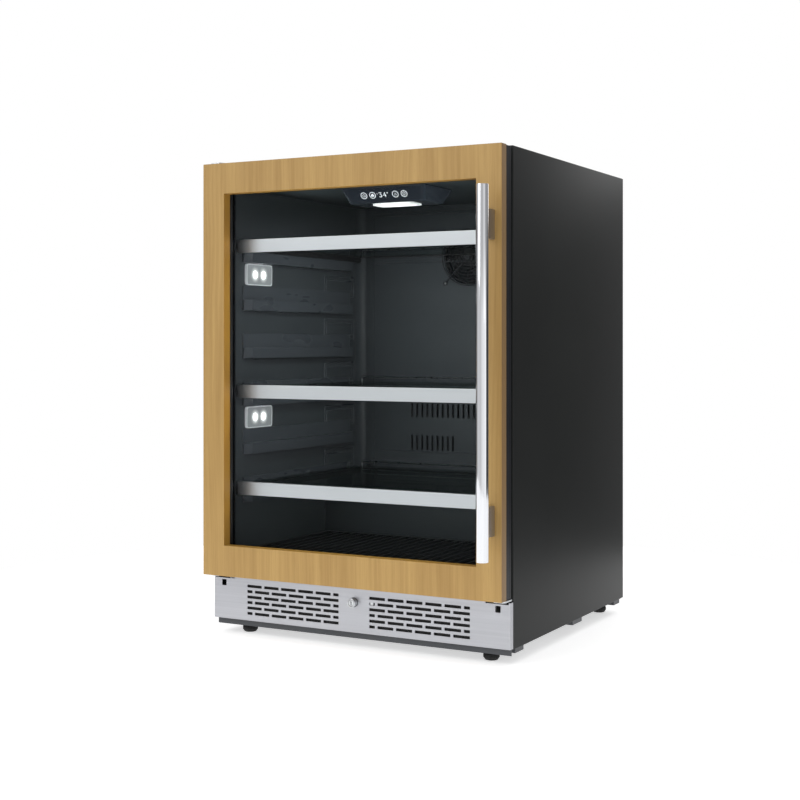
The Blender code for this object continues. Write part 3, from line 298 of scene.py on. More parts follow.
def painted_spot_glow(name, apart, reach):
    """The plate behind a side lamp: a painted pool of light (emission) round each of its two spots, over a faint
    painted glow on the whole plate.
    """
    made, place = start(name)
    side, up = abs(place.axis("Y")) - apart, place.axis("Z")
    square = side * side + up * up
    painted_pool = square.math("SQRT", square).between(0.004, reach, 1.0, 0.0)
    return lit_by(made, place, painted_pool * painted_pool * 1.3 + 0.05, rgb(0.22, 0.23, 0.24))


def frosted(name, tone, shade, strength):
    """The clear moulding round a lit lamp, which picks up some of its light."""
    made, place = start(name)
    ribs = place.axis("Y").math("SINE", place.axis("Y") * 2400.0).between(-1.0, 1.0)
    toned = (ribs * 0.4 + place.noise(90.0, 2.0) * 0.6).tint(tone, shade)
    return surface(
        made, place, Base_Color=toned, Roughness=0.22, Coat_Weight=0.6,
        Emission_Color=toned, Emission_Strength=strength, Normal=ribs.bump(0.2, 0.0003))


def foamy(name, tone, shade):
    made, place = start(name)
    cells = place.node("TexVoronoi", {}, {"Vector": place, "Scale": 700.0})
    return surface(
        made, place, Base_Color=cells.between(0.1, 0.8).tint(tone, shade), Roughness=0.9,
        Normal=cells.bump(0.5, 0.0006))


# Name: (kind, tone, shade, the kind's own settings)
RECIPES = {
    # overlay_wood's last two colours are painted shade: the reveal tone and the outer edge tone of the side faces.
    "overlay_wood": (timber, (0.488, 0.306, 0.098), (0.335, 0.19, 0.048),
                     rgb(0.33, 0.16, 0.024), rgb(0.19, 0.108, 0.04)),
    "black_steel": (painted, (0.0185, 0.0195, 0.0195), (0.021, 0.0222, 0.022), 0.32, 0.13),
    "grey_steel": (painted, (0.048, 0.052, 0.058), (0.06, 0.064, 0.072), 0.45),
    "black_wire": (painted, (0.02, 0.021, 0.023), (0.026, 0.027, 0.029), 0.26),
    "compressor_paint": (painted, (0.006, 0.006, 0.006), (0.01, 0.01, 0.01), 0.22),
    "black_door_frame": (moulded, (0.0085, 0.0095, 0.012), (0.012, 0.013, 0.0165),
                         0.34, 0.012, 0.0, 0.12),
    "liner_plastic": (moulded, (0.034, 0.038, 0.043), (0.041, 0.045, 0.05), 0.36),
    "black_plastic": (moulded, (0.009, 0.009, 0.01), (0.013, 0.013, 0.014), 0.42),
    "shelf_frame_plastic": (moulded, (0.01, 0.01, 0.011), (0.015, 0.015, 0.016), 0.42),
    "gloss_black_plastic": (moulded, (0.03, 0.034, 0.046), (0.034, 0.038, 0.05), 0.16, 0.01, 0.8),
    "panel_glass": (moulded, (0.026, 0.03, 0.042), (0.029, 0.033, 0.045), 0.08, 0.0, 1.0),
    "foam": (foamy, (0.72, 0.6, 0.3), (0.62, 0.5, 0.24)),
    # Fins darker than bare aluminium: partly a dull coil finish, partly painted shade of the machine room seen
    # through the kick-plate slots.
    "fin_metal": (brushed, (0.22, 0.22, 0.23), (0.15, 0.15, 0.16), 0.45, "Z"),
    "aluminium_trim": (brushed, (0.76, 0.775, 0.8), (0.69, 0.705, 0.73), 0.34, "X"),
    "stainless": (brushed, (0.485, 0.49, 0.52), (0.415, 0.42, 0.45), 0.36, "X"),
    "stainless_polished": (brushed, (0.74, 0.75, 0.78), (0.66, 0.67, 0.7), 0.09, "Z", 0.03),
    "zinc": (plated, (0.66, 0.68, 0.7), (0.52, 0.53, 0.55), 0.3),
    "copper_tube": (plated, (0.72, 0.34, 0.19), (0.55, 0.24, 0.13), 0.28),
    "gasket_rubber": (rubbery, (0.007, 0.007, 0.008), (0.012, 0.012, 0.013)),
    "foot_rubber": (rubbery, (0.006, 0.006, 0.006), (0.012, 0.012, 0.012)),
    "light_lens": (frosted, (0.6, 0.61, 0.63), (0.36, 0.37, 0.39), 0.3),
    # The ledges' finish: a lighter, bluer copy of liner_plastic, painted light.
    "ledge_plastic": (moulded, (0.042, 0.046, 0.054), (0.049, 0.053, 0.061), 0.28),
    # Near-black, darker than any plastic here: painted shade for the sheets seen through vent slots.
    "duct_black": (rubbery, (0.0012, 0.0012, 0.0012), (0.002, 0.002, 0.002)),
}
FINISHES = {name: kind(name, rgb(*tone), rgb(*shade), *settings)
            for name, (kind, tone, shade, *settings) in RECIPES.items()}
# Glass: tint, mirror share face on and at the rim, roughness
FINISHES["door_glass"] = clear_glass("door_glass", rgb(0.985, 0.99, 0.99), 0.0004, 0.015, 0.005)
FINISHES["shelf_glass"] = clear_glass("shelf_glass", rgb(0.86, 0.92, 0.9), 0.004, 0.26, 0.01)
FINISHES["lamp_core"] = glowing("lamp_core", rgb(1.0, 1.0, 1.0), 2.6)
FINISHES["panel_mark"] = glowing("panel_mark", rgb(0.8, 0.84, 0.92), 1.0)
FINISHES["lamp_strip"] = glowing_strip("lamp_strip", 0.02, 0.043)
FINISHES["lamp_bed"] = painted_spot_glow("lamp_bed", SPOT_APART, 0.017)


# ---------------------------------------------------------------- shapes
FACING_Y = Matrix(((1, 0, 0), (0, 0, 1), (0, 1, 0))).to_4x4()   # (across, up, depth)
FACING_X = Matrix(((0, 0, 1), (1, 0, 0), (0, 1, 0))).to_4x4()
FACING_Z = Matrix.Identity(4)


def row(work, points, way=FACING_Z):
    """Vertices at points of a drawing, which the matrix sets in place."""
    return [work.verts.new(way @ Vector(point)) for point in points]


def skin(work, rows, loop=False, ends=False):
    """Faces between rows of vertices; the last row may join the first, or both ends be filled."""
    for a, b in list(zip(rows, rows[1:])) + ([(rows[-1], rows[0])] if loop else []):
        for i in range(max(len(a), len(b))):
            corners = (a[i % len(a)], a[(i + 1) % len(a)], b[(i + 1) % len(b)], b[i % len(b)])
            work.faces.new(list(dict.fromkeys(corners)))
    if ends:
        work.faces.new(rows[0])
        work.faces.new(rows[-1])


def heading(points, i, closed):
    """The direction of a path at one of its points."""
    before = points[i - 1] if i or closed else points[i]
    after = points[(i + 1) % len(points)] if i < len(points) - 1 or closed else points[i]
    return (after - before).normalized()


def round_edges(work, picked, radius, segments):
    """Round off the edges whose two ends pass a test."""
    edges = [edge for edge in work.edges if picked(*(v.co for v in edge.verts))]
    bmesh.ops.bevel(work, geom=edges, offset=radius, segments=segments, affect="EDGES", profile=0.5)


def drop_faces(work, picked):
    bmesh.ops.delete(work, geom=[face for face in work.faces if picked(face)], context="FACES")


def add_block(work, low, high):
    low, high = Vector(low), Vector(high)
    size = Matrix.Diagonal((high - low).to_4d())
    size[3][3] = 1.0
    return bmesh.ops.create_cube(work, size=1.0, matrix=Matrix.Translation((low + high) / 2) @ size)


def rounded(left, low, right, high, radius, steps=5):
    """The outline of a rectangle with round corners, anticlockwise."""
    found = []
    for x, y, turn in ((right, high, 0), (left, high, 1), (left, low, 2), (right, low, 3)):
        inner_x = x - radius if x == right else x + radius
        inner_y = y - radius if y == high else y + radius
        for step in range(steps + 1):
            angle = (turn + step / steps) * math.pi / 2
            found.append((inner_x + radius * math.cos(angle), inner_y + radius * math.sin(angle)))
    return found


def add_prism(work, outline, start_at, end_at, way=FACING_Z, far=None):
    """Extrude a flat outline between two depths; the outline at the far one may differ."""
    skin(work, [row(work, [(a, b, depth) for a, b in drawn], way)
                for drawn, depth in ((outline, start_at), (far or outline, end_at))], ends=True)


def add_turned(work, profile, centre, axis="Z", sides=40):
    """Turn (radius, height) points about an axis; the profile is closed unless it starts at 0."""
    place = Matrix.Translation(centre) @ {"Z": FACING_Z, "Y": FACING_Y, "X": FACING_X}[axis]
    rows = []
    for radius, height in profile:
        around = circle(0, 0, radius, sides) if radius else [(0, 0)]
        rows.append(row(work, [(a, b, height) for a, b in around], place))
    skin(work, rows, profile[0][0] > 0)


def add_ring(work, profile, outer, inner=None, corner=0.0, steps=5):
    """Sweep a closed profile round a rectangle in XZ.

    A profile point is (inset, y): metres from the outer outline or, with inner given, a share of
    the way to the inner one.
    """
    rows = []
    for inset, y in profile:
        left, low, right, high = (
            (a + (b - a) * inset for a, b in zip(outer, inner)) if inner
            else (outer[0] + inset, outer[1] + inset, outer[2] - inset, outer[3] - inset))
        outline = [(right, high), (left, high), (left, low), (right, low)]
        if corner:
            outline = rounded(left, low, right, high, max(corner - inset, 0.0004), steps)
        rows.append(row(work, [(x, y, z) for x, z in outline]))
    skin(work, rows, True)


def add_wire(work, points, radius, sides=8, closed=False):
    """A round wire through points."""
    points = [Vector(p) for p in points]
    rows = []
    for i, point in enumerate(points):
        ahead = heading(points, i, closed)
        side = ahead.cross(Vector((0, 0, 1)))
        if side.length < 0.1:
            side = ahead.cross(Vector((1, 0, 0)))
        side.normalize()
        lift = side.cross(ahead)
        section = circle(0, 0, radius, sides)
        rows.append(row(work, [point + side * a + lift * b for a, b in section]))
    skin(work, rows, closed, not closed)


def add_ribbon(work, points, width, thickness, way, closed=False):
    """A flat stroke of even width along 2-D points, lying on the plane that way gives."""
    points = [Vector(p) for p in points]
    rows = []
    for i, point in enumerate(points):
        ahead = heading(points, i, closed)
        side = Vector((-ahead.y, ahead.x)) * width / 2
        a, b = point + side, point - side
        rows.append(row(work, [(*a, 0), (*b, 0), (*b, thickness), (*a, thickness)], way))
    skin(work, rows, closed, not closed)


def circle(x, y, radius, steps=28):
    turns = [2 * math.pi * i / steps for i in range(steps)]
    return [(x + radius * math.cos(a), y + radius * math.sin(a)) for a in turns]


def add_screw(work, centre, axis, radius, height):
    """A pan-head screw with a cross recess, its head standing along the axis from the centre."""
    turn = Vector((0, 0, 1)).rotation_difference(Vector(axis)).to_matrix().to_4x4()
    way = Matrix.Translation(centre) @ turn
    rows = [row(work, [(a, b, height * h) for a, b in circle(0, 0, radius * r, 20)], way)
            for r, h in ((1.0, 0.0), (1.0, 0.35), (0.86, 0.75), (0.55, 1.0))]
    skin(work, rows)
    work.faces.new(rows[0])
    a, s = 0.42 * radius, 0.13 * radius
    cross = ((s, a), (-s, a), (-s, s), (-a, s), (-a, -s), (-s, -s),
             (-s, -a), (s, -a), (s, -s), (a, -s), (a, s), (s, s))
    top, deep = [row(work, [(x, y, height * h) for x, y in cross], way) for h in (1.0, 0.35)]
    skin(work, [top, deep])
    work.faces.new(deep)
    edges = [work.edges.get((rim[i], rim[(i + 1) % len(rim)])) for rim in (rows[-1], top)
             for i in range(len(rim))]
    bmesh.ops.triangle_fill(work, use_beauty=True, use_dissolve=False, edges=edges)


def fresh(add, *settings, **more):
    """A new work mesh with one shape in it."""
    work = bmesh.new()
    add(work, *settings, **more)
    return work


def solid(name, work):
    """An object from a work mesh, its faces turned outwards."""
    bmesh.ops.recalc_face_normals(work, faces=work.faces)
    data = bpy.data.meshes.new(name)
    work.to_mesh(data)
    work.free()
    made = bpy.data.objects.new(name, data)
    bpy.context.scene.collection.objects.link(made)
    return made


def baked_shape(made):
    """Apply an object's modifiers to its own mesh."""
    bpy.context.view_layer.update()
    seen = bpy.context.evaluated_depsgraph_get()
    data = bpy.data.meshes.new_from_object(made.evaluated_get(seen))
    made.modifiers.clear()
    made.data = data


def thicken(made, thickness, way):
    """Turn a surface into sheet, inwards for -1 and outwards for 1."""
    wall = made.modifiers.new("wall", "SOLIDIFY")
    wall.thickness, wall.offset, wall.use_even_offset = thickness, way, True
    baked_shape(made)


def combine(made, work, operation="DIFFERENCE"):
    """Cut a work mesh out of an object, or join it on."""
    tool = solid(made.name + "_tool", work)
    change = made.modifiers.new("shape", "BOOLEAN")
    change.operation = operation
    change.object = tool
    baked_shape(made)
    bpy.data.objects.remove(tool, do_unlink=True)


def piece(made, finish, stands_for=(), edge=0.0, steps=2, look=None, sharp=32, body="cabinet"):
    """Give an object its slot's finish, or another look, its body and its rounded edges."""
    made.data.materials.clear()
    made.data.materials.append(FINISHES[look or finish])
    made.data.shade_smooth()
    if edge:
        soft = made.modifiers.new("edges", "BEVEL")
        soft.width, soft.segments = edge, steps
        soft.limit_method, soft.angle_limit = "ANGLE", math.radians(sharp)
        made.modifiers.new("shading", "WEIGHTED_NORMAL").keep_sharp = True
    else:
        made.data.set_sharp_from_angle(angle=math.radians(sharp))
    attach(made, body)
    if stands_for:
        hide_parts(*stands_for)
    return made


def part(name, work, *settings, **more):
    """A piece made straight from a work mesh."""
    return piece(solid(name, work), *settings, **more)


def add_screws(name, places, axis, radius, height, finish="zinc"):
    """Screws on the cabinet, all one piece."""
    work = bmesh.new()
    for place in places:
        add_screw(work, place, axis, radius, height)
    part(name, work, finish)


def inset_box(corners, by=0.0):
    """A box's XZ outline, moved in by a distance: left, low, right, high."""
    low, high = corners
    return (low.x + by, low.z + by, high.x - by, high.z - by)


# ---------------------------------------------------------------- door
def make_wood_frame():
    front, back = WOOD[0].y, WOOD[1].y
    frame_shape = fresh(add_ring, [(0, front), (1, front), (1, back), (0, back)],
                        inset_box(WOOD), inset_box(PANE, PANE_BITE))
    part("wood_frame", frame_shape, "overlay_wood", ["wood_overlay"], 0.0007, 3, body="door")


def make_slab():
    """The black door frame: two skins with a joint, and pockets for the glass, lock and hinges."""
    outer = inset_box(SLAB)
    window = inset_box(PANE, PANE_BITE - SLAB_LIP)
    front, back = SLAB[0].y, SLAB[1].y
    joint, groove = back - 0.0056, 0.0006
    deep = groove / (window[0] - outer[0])
    glass_back = INNER_PANE[1].y + HAIR
    pocket = 1 - (PANE_BITE - SLAB_LIP) / (window[0] - outer[0])
    work = bmesh.new()
    add_ring(work, [
        (0, front), (pocket, front), (pocket, glass_back), (1, glass_back), (1, back), (0, back),
        (0, joint + groove), (deep, joint + groove), (deep, joint), (0, joint)], outer, window)
    slab = solid("door_slab", work)
    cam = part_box("lock_cam")
    reach = cam[1].x - (cam[0].x + cam[1].z - cam[0].z) + 0.005
    pocket_top = (cam[0].z + cam[1].z) / 2 + cam[1].x + 0.003
    hole = bmesh.new()
    add_block(hole, (-0.01, cam[0].y - 0.003, outer[1] - 0.02),
              (max(reach, 0.032), back + 0.01, pocket_top))
    combine(slab, hole)
    for name in ("top_hinge_bush", "bottom_hinge_bush"):
        low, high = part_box(name)
        radius, half = (high.x - low.x) / 2 + HAIR, (high.z - low.z) / 2 + HAIR
        under, over = (-half, half + 0.01) if name.startswith("top") else (-half - 0.01, half)
        hole = bmesh.new()
        add_turned(hole, [(0, under), (radius, under), (radius, over), (0, over)],
                   (low + high) / 2, "Z", 24)
        combine(slab, hole)
    piece(slab, "black_door_frame", ["door_frame"], 0.0005, 2, body="door")


def make_panes():
    for name, node, corners in (
            ("outer_pane", "outer_glass", PANE), ("inner_pane", "inner_glass", INNER_PANE)):
        outline = rounded(*inset_box(corners), 0.003)
        pane = fresh(add_prism, outline, corners[0].y, corners[1].y, FACING_Y)
        part(name, pane, "door_glass", [node], 0.0004, 1, body="door")
    front, back = SPACER[0].y, SPACER[1].y
    middle = (front + back) / 2
    bars = fresh(add_ring, [
        (0, front), (1, front), (1, middle - 0.0012), (0.9, middle - 0.0006),
        (0.9, middle + 0.0006), (1, middle + 0.0012), (1, back), (0, back)],
        inset_box(SPACER), inset_box(PANE, PANE_BITE - SLAB_LIP))
    part("spacer_bars", bars, "black_plastic", ["glass_spacer"], 0.0003, 1, body="door")


def make_seal():
    """A magnetic gasket: a bulb against the cabinet on a folded bellows."""
    front, depth, half = SEAL[0].y, SEAL[1].y - SEAL[0].y, 0.007
    right = [(0.62, 0.0), (0.7, 0.12), (0.55, 0.24), (0.8, 0.36), (0.6, 0.48), (0.92, 0.6),
             (1.0, 0.76), (0.94, 0.92), (0.78, 1.0), (0.3, 1.0), (0.22, 0.93)]
    left = [(-across, depth_share) for across, depth_share in reversed(right)]
    section = left[-1:] + right + left[:-1]
    gasket = fresh(add_ring, [(half + half * a, front + depth * b) for a, b in section],
                   inset_box(SEAL), corner=0.012)
    part("gasket", gasket, "gasket_rubber", ["door_gasket"], sharp=50, body="door")


def make_handle():
    low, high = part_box("handle_tube")
    x, y = (low.x + high.x) / 2, (low.y + high.y) / 2
    radius, length = (high.x - low.x) / 2, high.z - low.z
    edge, cap = 0.001, 0.0026
    end_cap = [
        (0, 0), (radius - cap, 0), (radius - cap + 0.0003, 0.0004), (radius - cap + 0.0006, 0),
        (radius - edge, 0), (radius - 0.3 * edge, 0.3 * edge), (radius, edge)]
    profile = end_cap + [(r, length - h) for r, h in reversed(end_cap)]
    tube = fresh(add_turned, profile, (x, y, low.z), "Z", 64)
    part("handle_bar", tube, "stainless_polished", ["handle_tube"], body="door")
    reach, steps = radius + HAIR, 8
    for name in ("upper", "lower"):
        node = name + "_handle_bracket"
        low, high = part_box(node)
        half = (high.x - low.x) / 2
        across = [-half + 2 * half * step / steps for step in range(steps + 1)]
        plan = [(x + half, high.y), (x - half, high.y)]
        plan += [(x + a, y + math.sqrt(reach ** 2 - a ** 2)) for a in across]
        part(name + "_bracket", fresh(add_prism, plan, low.z, high.z), "stainless", [node], 0.0008,
             3, body="door")


# ---------------------------------------------------------------- cabinet
def make_case():
    low, high = CASE
    sill, near, far = 0.012, CASE[0].y - 0.01, CASE[0].y + 0.01
    work = bmesh.new()
    add_block(work, low, high)
    round_edges(work, lambda a, b: (
        (max(a.y, b.y) < low.y + HAIR or (min(a.z, b.z) > high.z - HAIR and abs(a.x - b.x) < HAIR))
        and (min(a.z, b.z) > low.z + HAIR or abs(a.z - b.z) > HAIR)), FOLD_R, 3)
    drop_faces(work, lambda f: f.normal.y > 0.9 or f.normal.z < -0.9)
    case = solid("case_shell", work)
    thicken(case, SHEET, -1.0)
    hole = bmesh.new()
    add_prism(hole, rounded(*inset_box(LINER, -HAIR), 0.004), near, far, FACING_Y)
    add_block(hole, (low.x + sill, near, low.z - 0.02), (high.x - sill, far, 0.105))
    combine(case, hole)
    piece(case, "black_steel", ["outer_case"], sharp=28)
    add_screws("top_screws", [(x, high.y - 0.02, high.z) for x in (-0.27, -0.09, 0.09, 0.27)],
               (0, 0, 1), 0.0042, 0.0022)


def make_back():
    low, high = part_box("back_panel")
    face = low.y + 0.55 * (high.y - low.y)
    work = bmesh.new()
    add_block(work, (low.x, low.y - SHEET, low.z), (high.x, face, high.z))
    back = solid("back_sheet", work)
    flange = bmesh.new()
    add_block(flange, (low.x, low.y - SHEET, low.z - 0.006), (high.x, low.y - HAIR, low.z + 0.002))
    combine(back, flange, "UNION")
    rim = bmesh.new()
    add_ring(rim, [(0, face - 0.0002), (0, high.y), (0.014, high.y), (0.0155, face - 0.0002)],
             inset_box((low, high)))
    for step in range(6):
        z = low.z + (high.z - low.z) * (step + 0.7) / 6.4
        foot, crest = [rounded(low.x + 0.07 + a, z - 0.006 + a, high.x - 0.07 - a, z + 0.006 - a, r)
                       for a, r in ((0.0, 0.0055), (0.0006, 0.005))]
        add_prism(rim, foot, face - 0.0002, high.y, FACING_Y, crest)
    combine(back, rim, "UNION")
    piece(back, "black_steel", ["back_panel"], 0.0003, 1)
    grille_low, grille_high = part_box("machine_cover")
    spots = [(x, z) for z in (low.z + 0.12, (low.z + high.z) / 2, high.z - 0.05)
             for x in (low.x + 0.007, high.x - 0.007)]
    spots += [(x, z) for x in (-0.28, -0.1, 0.1, 0.28)
              for z in (grille_high.z - 0.01, grille_low.z + 0.01)]
    add_screws("back_screws", [(x, high.y - 0.0016, z) for x, z in spots], (0, 1, 0), 0.004, 0.0017)
    work = bmesh.new()
    add_block(work, grille_low, grille_high)
    grille = solid("machine_grille", work)
    holes = bmesh.new()
    near, far = grille_low.y - 0.005, grille_high.y + 0.005
    for index in range(17):
        x = low.x + 0.0398 + 0.018 * index
        slot = rounded(x - 0.003, grille_low.z + 0.028, x + 0.003, grille_high.z - 0.028, 0.00295)
        add_prism(holes, slot, near, far, FACING_Y)
    inlet_low, inlet_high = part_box("power_inlet")
    add_block(holes, (inlet_low.x - HAIR, near, inlet_low.z - HAIR),
              (inlet_high.x + HAIR, far, inlet_high.z + HAIR))
    combine(grille, holes)
    piece(grille, "black_steel", ["machine_cover"], 0.0002, 1)


def make_inlet():
    """A mains inlet: a keyed socket with three blades."""
    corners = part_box("power_inlet")
    outside = corners[1].y
    socket = {opening["name"]: opening["box_m"]
              for opening in frame["record"]["physics"]["openings"]}["inlet_socket"]
    slack, chamfer = 0.0005, 0.0035
    left, right = socket[0][0] - slack, socket[1][0] + slack
    bottom, top = socket[0][2] - slack, socket[1][2] + slack
    inlet = solid("mains_inlet", fresh(
        add_prism, rounded(*inset_box(corners), 0.003), corners[0].y, outside, FACING_Y))
    combine(inlet, fresh(add_prism, [
        (left, bottom), (right, bottom), (right, top - chamfer), (right - chamfer, top),
        (left + chamfer, top), (left, top - chamfer)], socket[0][1], outside + 0.01, FACING_Y))
    piece(inlet, "black_plastic", ["power_inlet"], 0.0004, 2)
    blades = bmesh.new()
    middle = (left + right) / 2
    for x, z in ((middle - 0.007, 0.0785), (middle + 0.007, 0.0785), (middle, 0.0825)):
        add_block(blades, (x - 0.001, socket[0][1] - 0.001, z - 0.002),
                  (x + 0.001, outside - 0.003, z + 0.002))
    part("inlet_blades", blades, "zinc", edge=0.0004, steps=1)


def make_liner():
    """The moulded inner box, with ledges and pads on its walls."""
    half = LINER[1].x - LINER_WALL
    front, ceiling, floor = LINER[0].y, LINER[1].z - LINER_WALL, LINER[0].z + LINER_WALL
    back = COVER[1].y + HAIR
    hump_top = COVER[0].z - HAIR
    hump_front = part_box("floor_rack")[1].y + 0.008
    recess_half, recess_back, margin = COVER[1].x - 0.0025, LINER[1].y - LINER_WALL, 0.012
    work = bmesh.new()
    add_block(work, (-half, front, hump_top), (half, back, ceiling))
    round_edges(work, lambda a, b: min(a.y, b.y) > back - HAIR and abs(a.z - b.z) > HAIR,
                CORNER_R, 8)
    space = solid("liner_shell", work)
    well = (-half, front, floor), (half, hump_front, hump_top + 0.02)
    recess = ((-recess_half, back - 0.01, hump_top + margin),
              (recess_half, recess_back, ceiling - margin))
    for low, high in (well, recess):
        work = bmesh.new()
        add_block(work, low, high)
        combine(space, work, "UNION")
    work = bmesh.new()
    work.from_mesh(space.data)
    drop_faces(work, lambda f: f.normal.y < -0.9 and f.calc_center_median().y < front + HAIR)
    work.to_mesh(space.data)
    work.free()
    thicken(space, LINER_WALL, 1.0)
    piece(space, "liner_plastic", ["inner_liner"], sharp=28)
    make_ledges(half)


def level_tops():
    """Heights of the shelf levels, from the shelves' own trims."""
    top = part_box("upper_shelf_trim")[1].z
    pitch = (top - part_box("middle_shelf_trim")[1].z) / 3
    return [top - pitch * level for level in range(6)]


def make_ledges(half):
    front, back = LINER[0].y + 0.0222, COVER[0].y - 0.03
    work = bmesh.new()
    for top in level_tops():
        ledge_top = top - 0.0207
        for side in (-1, 1):
            add_ledge(work, side, half, front, back, ledge_top)
            add_panel_bead(work, side, half, back, ledge_top)
    # The ledges take a lighter copy of the liner plastic as painted light.
    part("shelf_ledges", work, "liner_plastic", edge=0.0009, steps=3, sharp=20,
         look="ledge_plastic")


def add_ledge(work, side, half, front, back, top):
    """A ledge with a raised pad over it; both start with a slanted face."""
    reach, proud, ramp = 0.0126, 0.0027, 0.016
    wall = half + LINER_WALL / 2
    low = top - 0.02
    plan = [(wall, front), (half - 0.0045, front), (half - reach, front + ramp),
            (half - reach, back - ramp), (half, back), (wall, back)]
    outline = [(side * x, y) for x, y in plan]
    under = [(side * (x + 0.0012 if x < half else x), y) for x, y in plan]
    add_prism(work, outline, top, low, FACING_Z, under)
    plan = [(wall, front), (half - proud * 0.7, front), (half - proud, front + 0.004),
            (half - proud, back - ramp), (half, back - 0.006), (wall, back - 0.006)]
    add_prism(work, [(side * x, y) for x, y in plan], top - 0.001, top + 0.026)


def add_panel_bead(work, side, half, back, top):
    """A faint raised frame pressed into the wall behind the middle of each level."""
    for grow, height in ((0.0, 0.0011), (0.0085, 0.0008)):
        left, low, right, high = (back - 0.11 + grow, top - 0.074 + grow,
                                  back + 0.012 - grow, top - 0.03 - grow)
        rows = []
        for inset, depth in ((0, -0.0005), (0.001, height), (0.0026, height), (0.0036, -0.0005)):
            outline = rounded(
                left + inset, low + inset, right - inset, high - inset, 0.005 - inset, 3)
            rows.append(row(work, [(side * (half - depth), y, z) for y, z in outline]))
        skin(work, rows, True)


def make_duct_cover():
    low, high = COVER
    fan = Vector(JOINTS["evaporator_fan_spin"]["pos_m"])
    near, far, bore = low.y - 0.01, high.y + 0.01, 0.055
    work = bmesh.new()
    add_block(work, low, high)
    cover = solid("duct_cover", work)
    holes = bmesh.new()
    add_turned(holes, [(0, near), (bore, near), (bore, far), (0, far)], (fan.x, 0, fan.z), "Y", 64)
    pitch, half_w = 0.01183, 0.00225
    for index in range(23):
        x = (index - 11) * pitch
        rows = [(0.1657, 0.0145)] + ([(0.0987, 0.0155)] if min(index, 22 - index) < 9 else [])
        for rise, half_h in rows:
            z = low.z + rise
            add_prism(holes, rounded(x - half_w, z - half_h, x + half_w, z + half_h, 0.0012, 3),
                      near, far, FACING_Y)
    combine(cover, holes)
    beads = bmesh.new()
    for inset in (0.01, 0.016):
        add_ring(beads, [(0, low.y + 0.0004), (0.0008, low.y - 0.0009), (0.002, low.y - 0.0009),
                         (0.0028, low.y + 0.0004)], inset_box(COVER, inset), corner=0.008)
    for z in (high.z - 0.118, low.z + 0.078):
        add_ring(beads, [(0, low.y + 0.0004), (0.0007, low.y - 0.0008), (0.0017, low.y - 0.0008),
                         (0.0024, low.y + 0.0004)], (low.x + 0.022, z, high.x - 0.022, z + 0.004),
                 corner=0.0018, steps=3)
    add_turned(beads, [(bore, low.y + 0.0005), (bore, low.y - 0.0016), (0.0572, low.y - 0.0016),
                       (0.059, low.y + 0.0005)], (fan.x, 0, fan.z), "Y", 64)
    piece(cover, "liner_plastic", ["rear_duct_cover"], 0.0003, 1)
    part("cover_beads", beads, "liner_plastic")
    # A near-black plate just behind the cover's vent slots: painted shade seen through them.
    baffle = bmesh.new()
    y = high.y + 0.001
    left, bottom, right, top = low.x + 0.06, low.z + 0.075, high.x - 0.06, low.z + 0.19
    add_ring(baffle, [(0, y - 0.0005), (0, y + 0.0008), (0.004, y + 0.0008), (0.003, y - 0.0005)],
             (left, bottom, right, top), corner=0.006)
    add_prism(baffle, rounded(left + 0.002, bottom + 0.002, right - 0.002, top - 0.002, 0.005),
              y, y + 0.0008, FACING_Y)
    part("vent_baffle", baffle, "black_plastic", edge=0.0003, steps=1, look="duct_black")
    add_screws("cover_screws", [(x, low.y, z) for x in (low.x + 0.006, high.x - 0.006)
                                for z in (low.z + 0.05, high.z - 0.07)],
               (0, -1, 0), 0.0038, 0.0018, "black_wire")


def make_fan_guard():
    fan = Vector(JOINTS["evaporator_fan_spin"]["pos_m"])
    y = GUARD[0].y + 0.002
    work = bmesh.new()
    for index in range(8):
        radius = 0.0105 + 0.0066 * index
        dome = 0.0012 * (1 - (radius / 0.058) ** 2)
        ring = [(a, y - dome, b) for a, b in circle(fan.x, fan.z, radius, 56)]
        add_wire(work, ring, 0.00115, 8, True)
    hub = [(0, -0.0022), (0.006, -0.0022), (0.0072, -0.0012), (0.0072, 0.001), (0, 0.001)]
    add_turned(work, hub, (fan.x, y, fan.z), "Y", 32)
    reach, steps = 0.0525, 8
    corners = [(sx, sz) for sx in (-1, 1) for sz in (-1, 1)]
    for sx, sz in corners:
        start_at, far = [Vector((fan.x + sx * r, 0, fan.z + sz * r)) for r in (0.004, reach)]
        points = []
        for step in range(steps + 1):
            t = step / steps
            point = start_at.lerp(far, t * 0.94)
            point.y = y + 0.0016 + (COVER[0].y - 0.0032 - y) * max(0.0, t - 0.75) * 2.2
            points.append(point)
        add_wire(work, points, 0.0013, 8)
        add_wire(work, [(a, COVER[0].y - 0.0016, b) for a, b in circle(far.x, far.z, 0.0038, 20)],
                 0.0013, 8, True)
    part("guard_wires", work, "black_wire", ["fan_guard"])
    add_screws("guard_screws", [(fan.x + sx * reach, COVER[0].y - 0.0002, fan.z + sz * reach)
                                for sx, sz in corners], (0, -1, 0), 0.0026, 0.0016)


